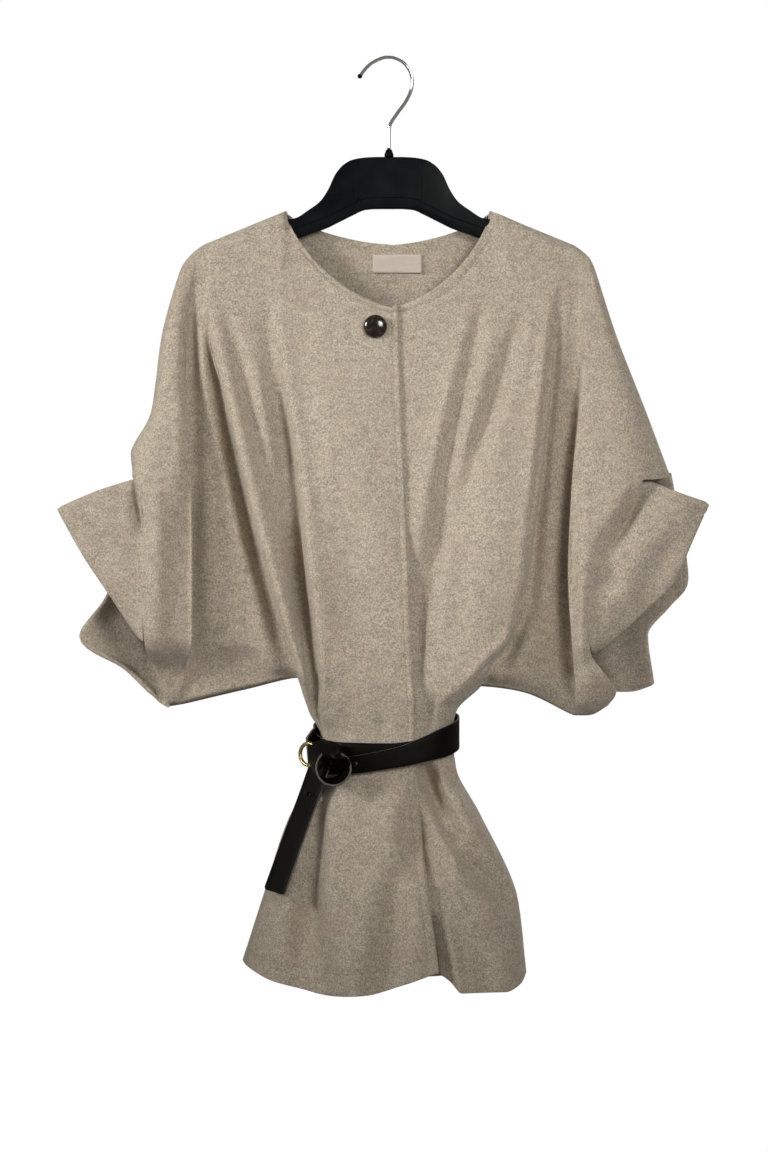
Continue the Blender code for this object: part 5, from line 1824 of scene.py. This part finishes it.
class PONCHO_OT_hanger(bpy.types.Operator):
    """Makes the moulded hanger, its collar and its wire hook"""

    bl_idname = "poncho.hanger"
    bl_label = "Hanger"

    def execute(self, context):
        hanger = context.scene.poncho_hanger
        plastic = painted("plastic", plastic_paint)
        chrome = painted("chrome", metal_paint, "polished chrome", (0.80, 0.80, 0.81), 0.10, 0.85)
        rows = np.array([(-x, top, low) for x, top, low in HANGER[:0:-1]] + list(HANGER), float)
        places = self.places(rows[:, 0])
        sections = []
        for x, (top, low) in zip(places, monotone(rows[:, 0], rows[:, 1:], places)):
            sections.append([(x, y, z) for y, z in self.section(top, low, hanger.edge_round / MM)])
        shapes = [loft(sections)]
        for x in (-RIB_X, RIB_X):
            top, low = monotone(rows[:, 0], rows[:, 1:], x)[0]
            for face in (-1, 1):
                root = face * (PLATE_T / 2 - RIB_ROOT)
                crest = face * (PLATE_T / 2 + hanger.rib / MM)
                ring = [(-RIB_FOOT, root), (-RIB_CREST, crest), (RIB_CREST, crest), (RIB_FOOT, root)]
                shapes.append(loft([[(x + a, y, z) for a, y in ring[::-face]]
                                    for z in np.linspace(low + HANGER_LIP_H, top - RIB_SHORT, RIB_STEPS)]))
        make_piece("hanger_shoulders", joined(*shapes), [plastic], ["hanger_body"])
        foot = np.array([0.0, 0.0, HANGER[0][1] + REST_GAP])
        profile = [(COLLAR_R * out, COLLAR_H * up) for out, up in COLLAR_FORM]
        shape = turned(profile, COLLAR_SIDES, foot, UP)
        make_piece("hanger_collar", shape, [plastic], ["hanger_collar"])
        path = line_through([(x, 0.0, z) for x, z in HOOK_LINE], HOOK_STEPS)
        shape = tube(path, WIRE_R, WIRE_SIDES, (0.0, 1.0, 0.0))
        make_piece("hanger_hook", shape, [chrome], ["hanger_hook"])
        r = hanger.tip / MM
        ball = [(max(r * math.sin(a), TIP_POLE), -r * math.cos(a))
                for a in np.linspace(0, math.pi, TIP_STEPS)]
        shape = turned(ball, TIP_SIDES, path[-1], path[-1] - path[-2])
        make_piece("hook_tip", shape, [plastic])
        return {"FINISHED"}

    def places(self, across):
        out = [across[0]]
        for a, b in zip(across[:-1], across[1:]):
            out += [a + (b - a) * t for t in even(HANGER_STEPS)]
        return np.array(out)

    def section(self, top, low, edge):
        """The hanger's section, a plate with a thicker lower lip, its corners rounded."""
        lip = low + min(HANGER_LIP_H, (top - low) * HANGER_LIP_SHARE)
        corners = ((-PLATE_T / 2, top), (PLATE_T / 2, top), (PLATE_T / 2, lip), (LIP_T / 2, lip),
                   (LIP_T / 2, low), (-LIP_T / 2, low), (-LIP_T / 2, lip), (-PLATE_T / 2, lip))
        out = []
        for k, corner in enumerate(np.array(corners)):
            before = np.array(corners[k - 1]) - corner
            after = np.array(corners[(k + 1) % len(corners)]) - corner
            a, b = (unit(way) * min(edge, np.linalg.norm(way) * CORNER_SHARE) for way in (before, after))
            out += [corner + a * (1 - t) ** 2 + b * t ** 2 for t in CORNER_STEPS]
        return out


class PONCHO_OT_stage(bpy.types.Operator):
    """Sets the floor, the light and the camera"""

    bl_idname = "poncho.stage"
    bl_label = "Stage"

    def execute(self, context):
        scene = context.scene
        stage = scene.poncho_stage
        mesh = bpy.data.meshes.new("studio floor")
        rim = [(FLOOR_R * math.cos(a), FLOOR_R * math.sin(a), stage.floor_z)
               for a in round_turns(FLOOR_SIDES)]
        mesh.from_pydata(rim, [], [tuple(range(FLOOR_SIDES))])
        mesh.materials.append(painted("floor", floor_paint))
        floor = bpy.data.objects.new("studio floor", mesh)
        scene.collection.objects.link(floor)
        for name, (spot, size, beam, power) in LIGHTS.items():
            light = bpy.data.lights.new(name, "AREA")
            light.energy = getattr(stage, power)
            light.size = size
            light.spread = math.radians(beam)
            held = bpy.data.objects.new(name, light)
            held.location = spot
            held.rotation_euler = (Vector(LIGHT_AIM) - Vector(spot)).to_track_quat("-Z", "Y").to_euler()
            scene.collection.objects.link(held)
        self.sky(scene, stage)
        camera = bpy.data.cameras.new("camera")
        camera.sensor_fit = "AUTO"
        camera.sensor_width = SENSOR_MM
        camera.lens = SENSOR_MM * stage.distance / stage.frame_height
        camera.clip_end = CAMERA_REACH
        held = bpy.data.objects.new("camera", camera)
        held.location = (CAMERA_X, -stage.distance, CAMERA_Z)
        held.rotation_euler = (math.pi / 2, 0.0, 0.0)
        scene.collection.objects.link(held)
        scene.camera = held
        scene.view_settings.view_transform = "Standard"
        return {"FINISHED"}

    def sky(self, scene, stage):
        """Even white light all round, brighter where it is seen than where it lights."""
        world = bpy.data.worlds.new("studio")
        world.use_nodes = True
        scene.world = world
        nodes = Nodes(world.node_tree)
        even_light = nodes.tree.nodes["Background"]
        nodes.feed(even_light.inputs["Color"], (1.0, 0.94, 0.92, 1.0))
        nodes.feed(even_light.inputs["Strength"], stage.sky)
        white = nodes.node("ShaderNodeBackground", {}, {"Color": (1.0, 1.0, 1.0, 1.0), "Strength": 1.0})
        nodes.camera_sees(1.0, Wire(nodes, even_light.outputs[0]), white, "World Output")


class PONCHO_PT_panel(bpy.types.Panel):
    """Lists the steps that dress the poncho"""

    bl_label = "Poncho"
    bl_idname = "PONCHO_PT_panel"
    bl_space_type = "VIEW_3D"
    bl_region_type = "UI"
    bl_category = "Poncho"

    def draw(self, context):
        for step in STEPS:
            self.layout.operator(step.bl_idname)
        for name in SETTINGS:
            group = getattr(context.scene, name)
            box = self.layout.box()
            for key in group.__annotations__:
                box.prop(group, key)


STEPS = (PONCHO_OT_panels, PONCHO_OT_topstitching, PONCHO_OT_button, PONCHO_OT_label, PONCHO_OT_belt,
         PONCHO_OT_belt_metal, PONCHO_OT_hanger, PONCHO_OT_stage)
SETTINGS = {"poncho_cloth": ClothSettings, "poncho_belt": BeltSettings, "poncho_hanger": HangerSettings,
            "poncho_stage": StageSettings}


def register():
    for kind in (*SETTINGS.values(), *STEPS, PONCHO_PT_panel):
        bpy.utils.register_class(kind)
    for name, kind in SETTINGS.items():
        pointer = PointerProperty(type=kind, name=kind.__name__, description=kind.__doc__)
        setattr(bpy.types.Scene, name, pointer)


def unregister():
    for name in SETTINGS:
        delattr(bpy.types.Scene, name)
    for kind in (PONCHO_PT_panel, *STEPS[::-1], *list(SETTINGS.values())[::-1]):
        bpy.utils.unregister_class(kind)


def main():
    register()
    bpy.ops.poncho.panels()
    bpy.ops.poncho.topstitching()
    bpy.ops.poncho.button()
    bpy.ops.poncho.label()
    bpy.ops.poncho.belt()
    bpy.ops.poncho.belt_metal()
    bpy.ops.poncho.hanger()
    bpy.ops.poncho.stage()


if __name__ == "__main__":
    main()
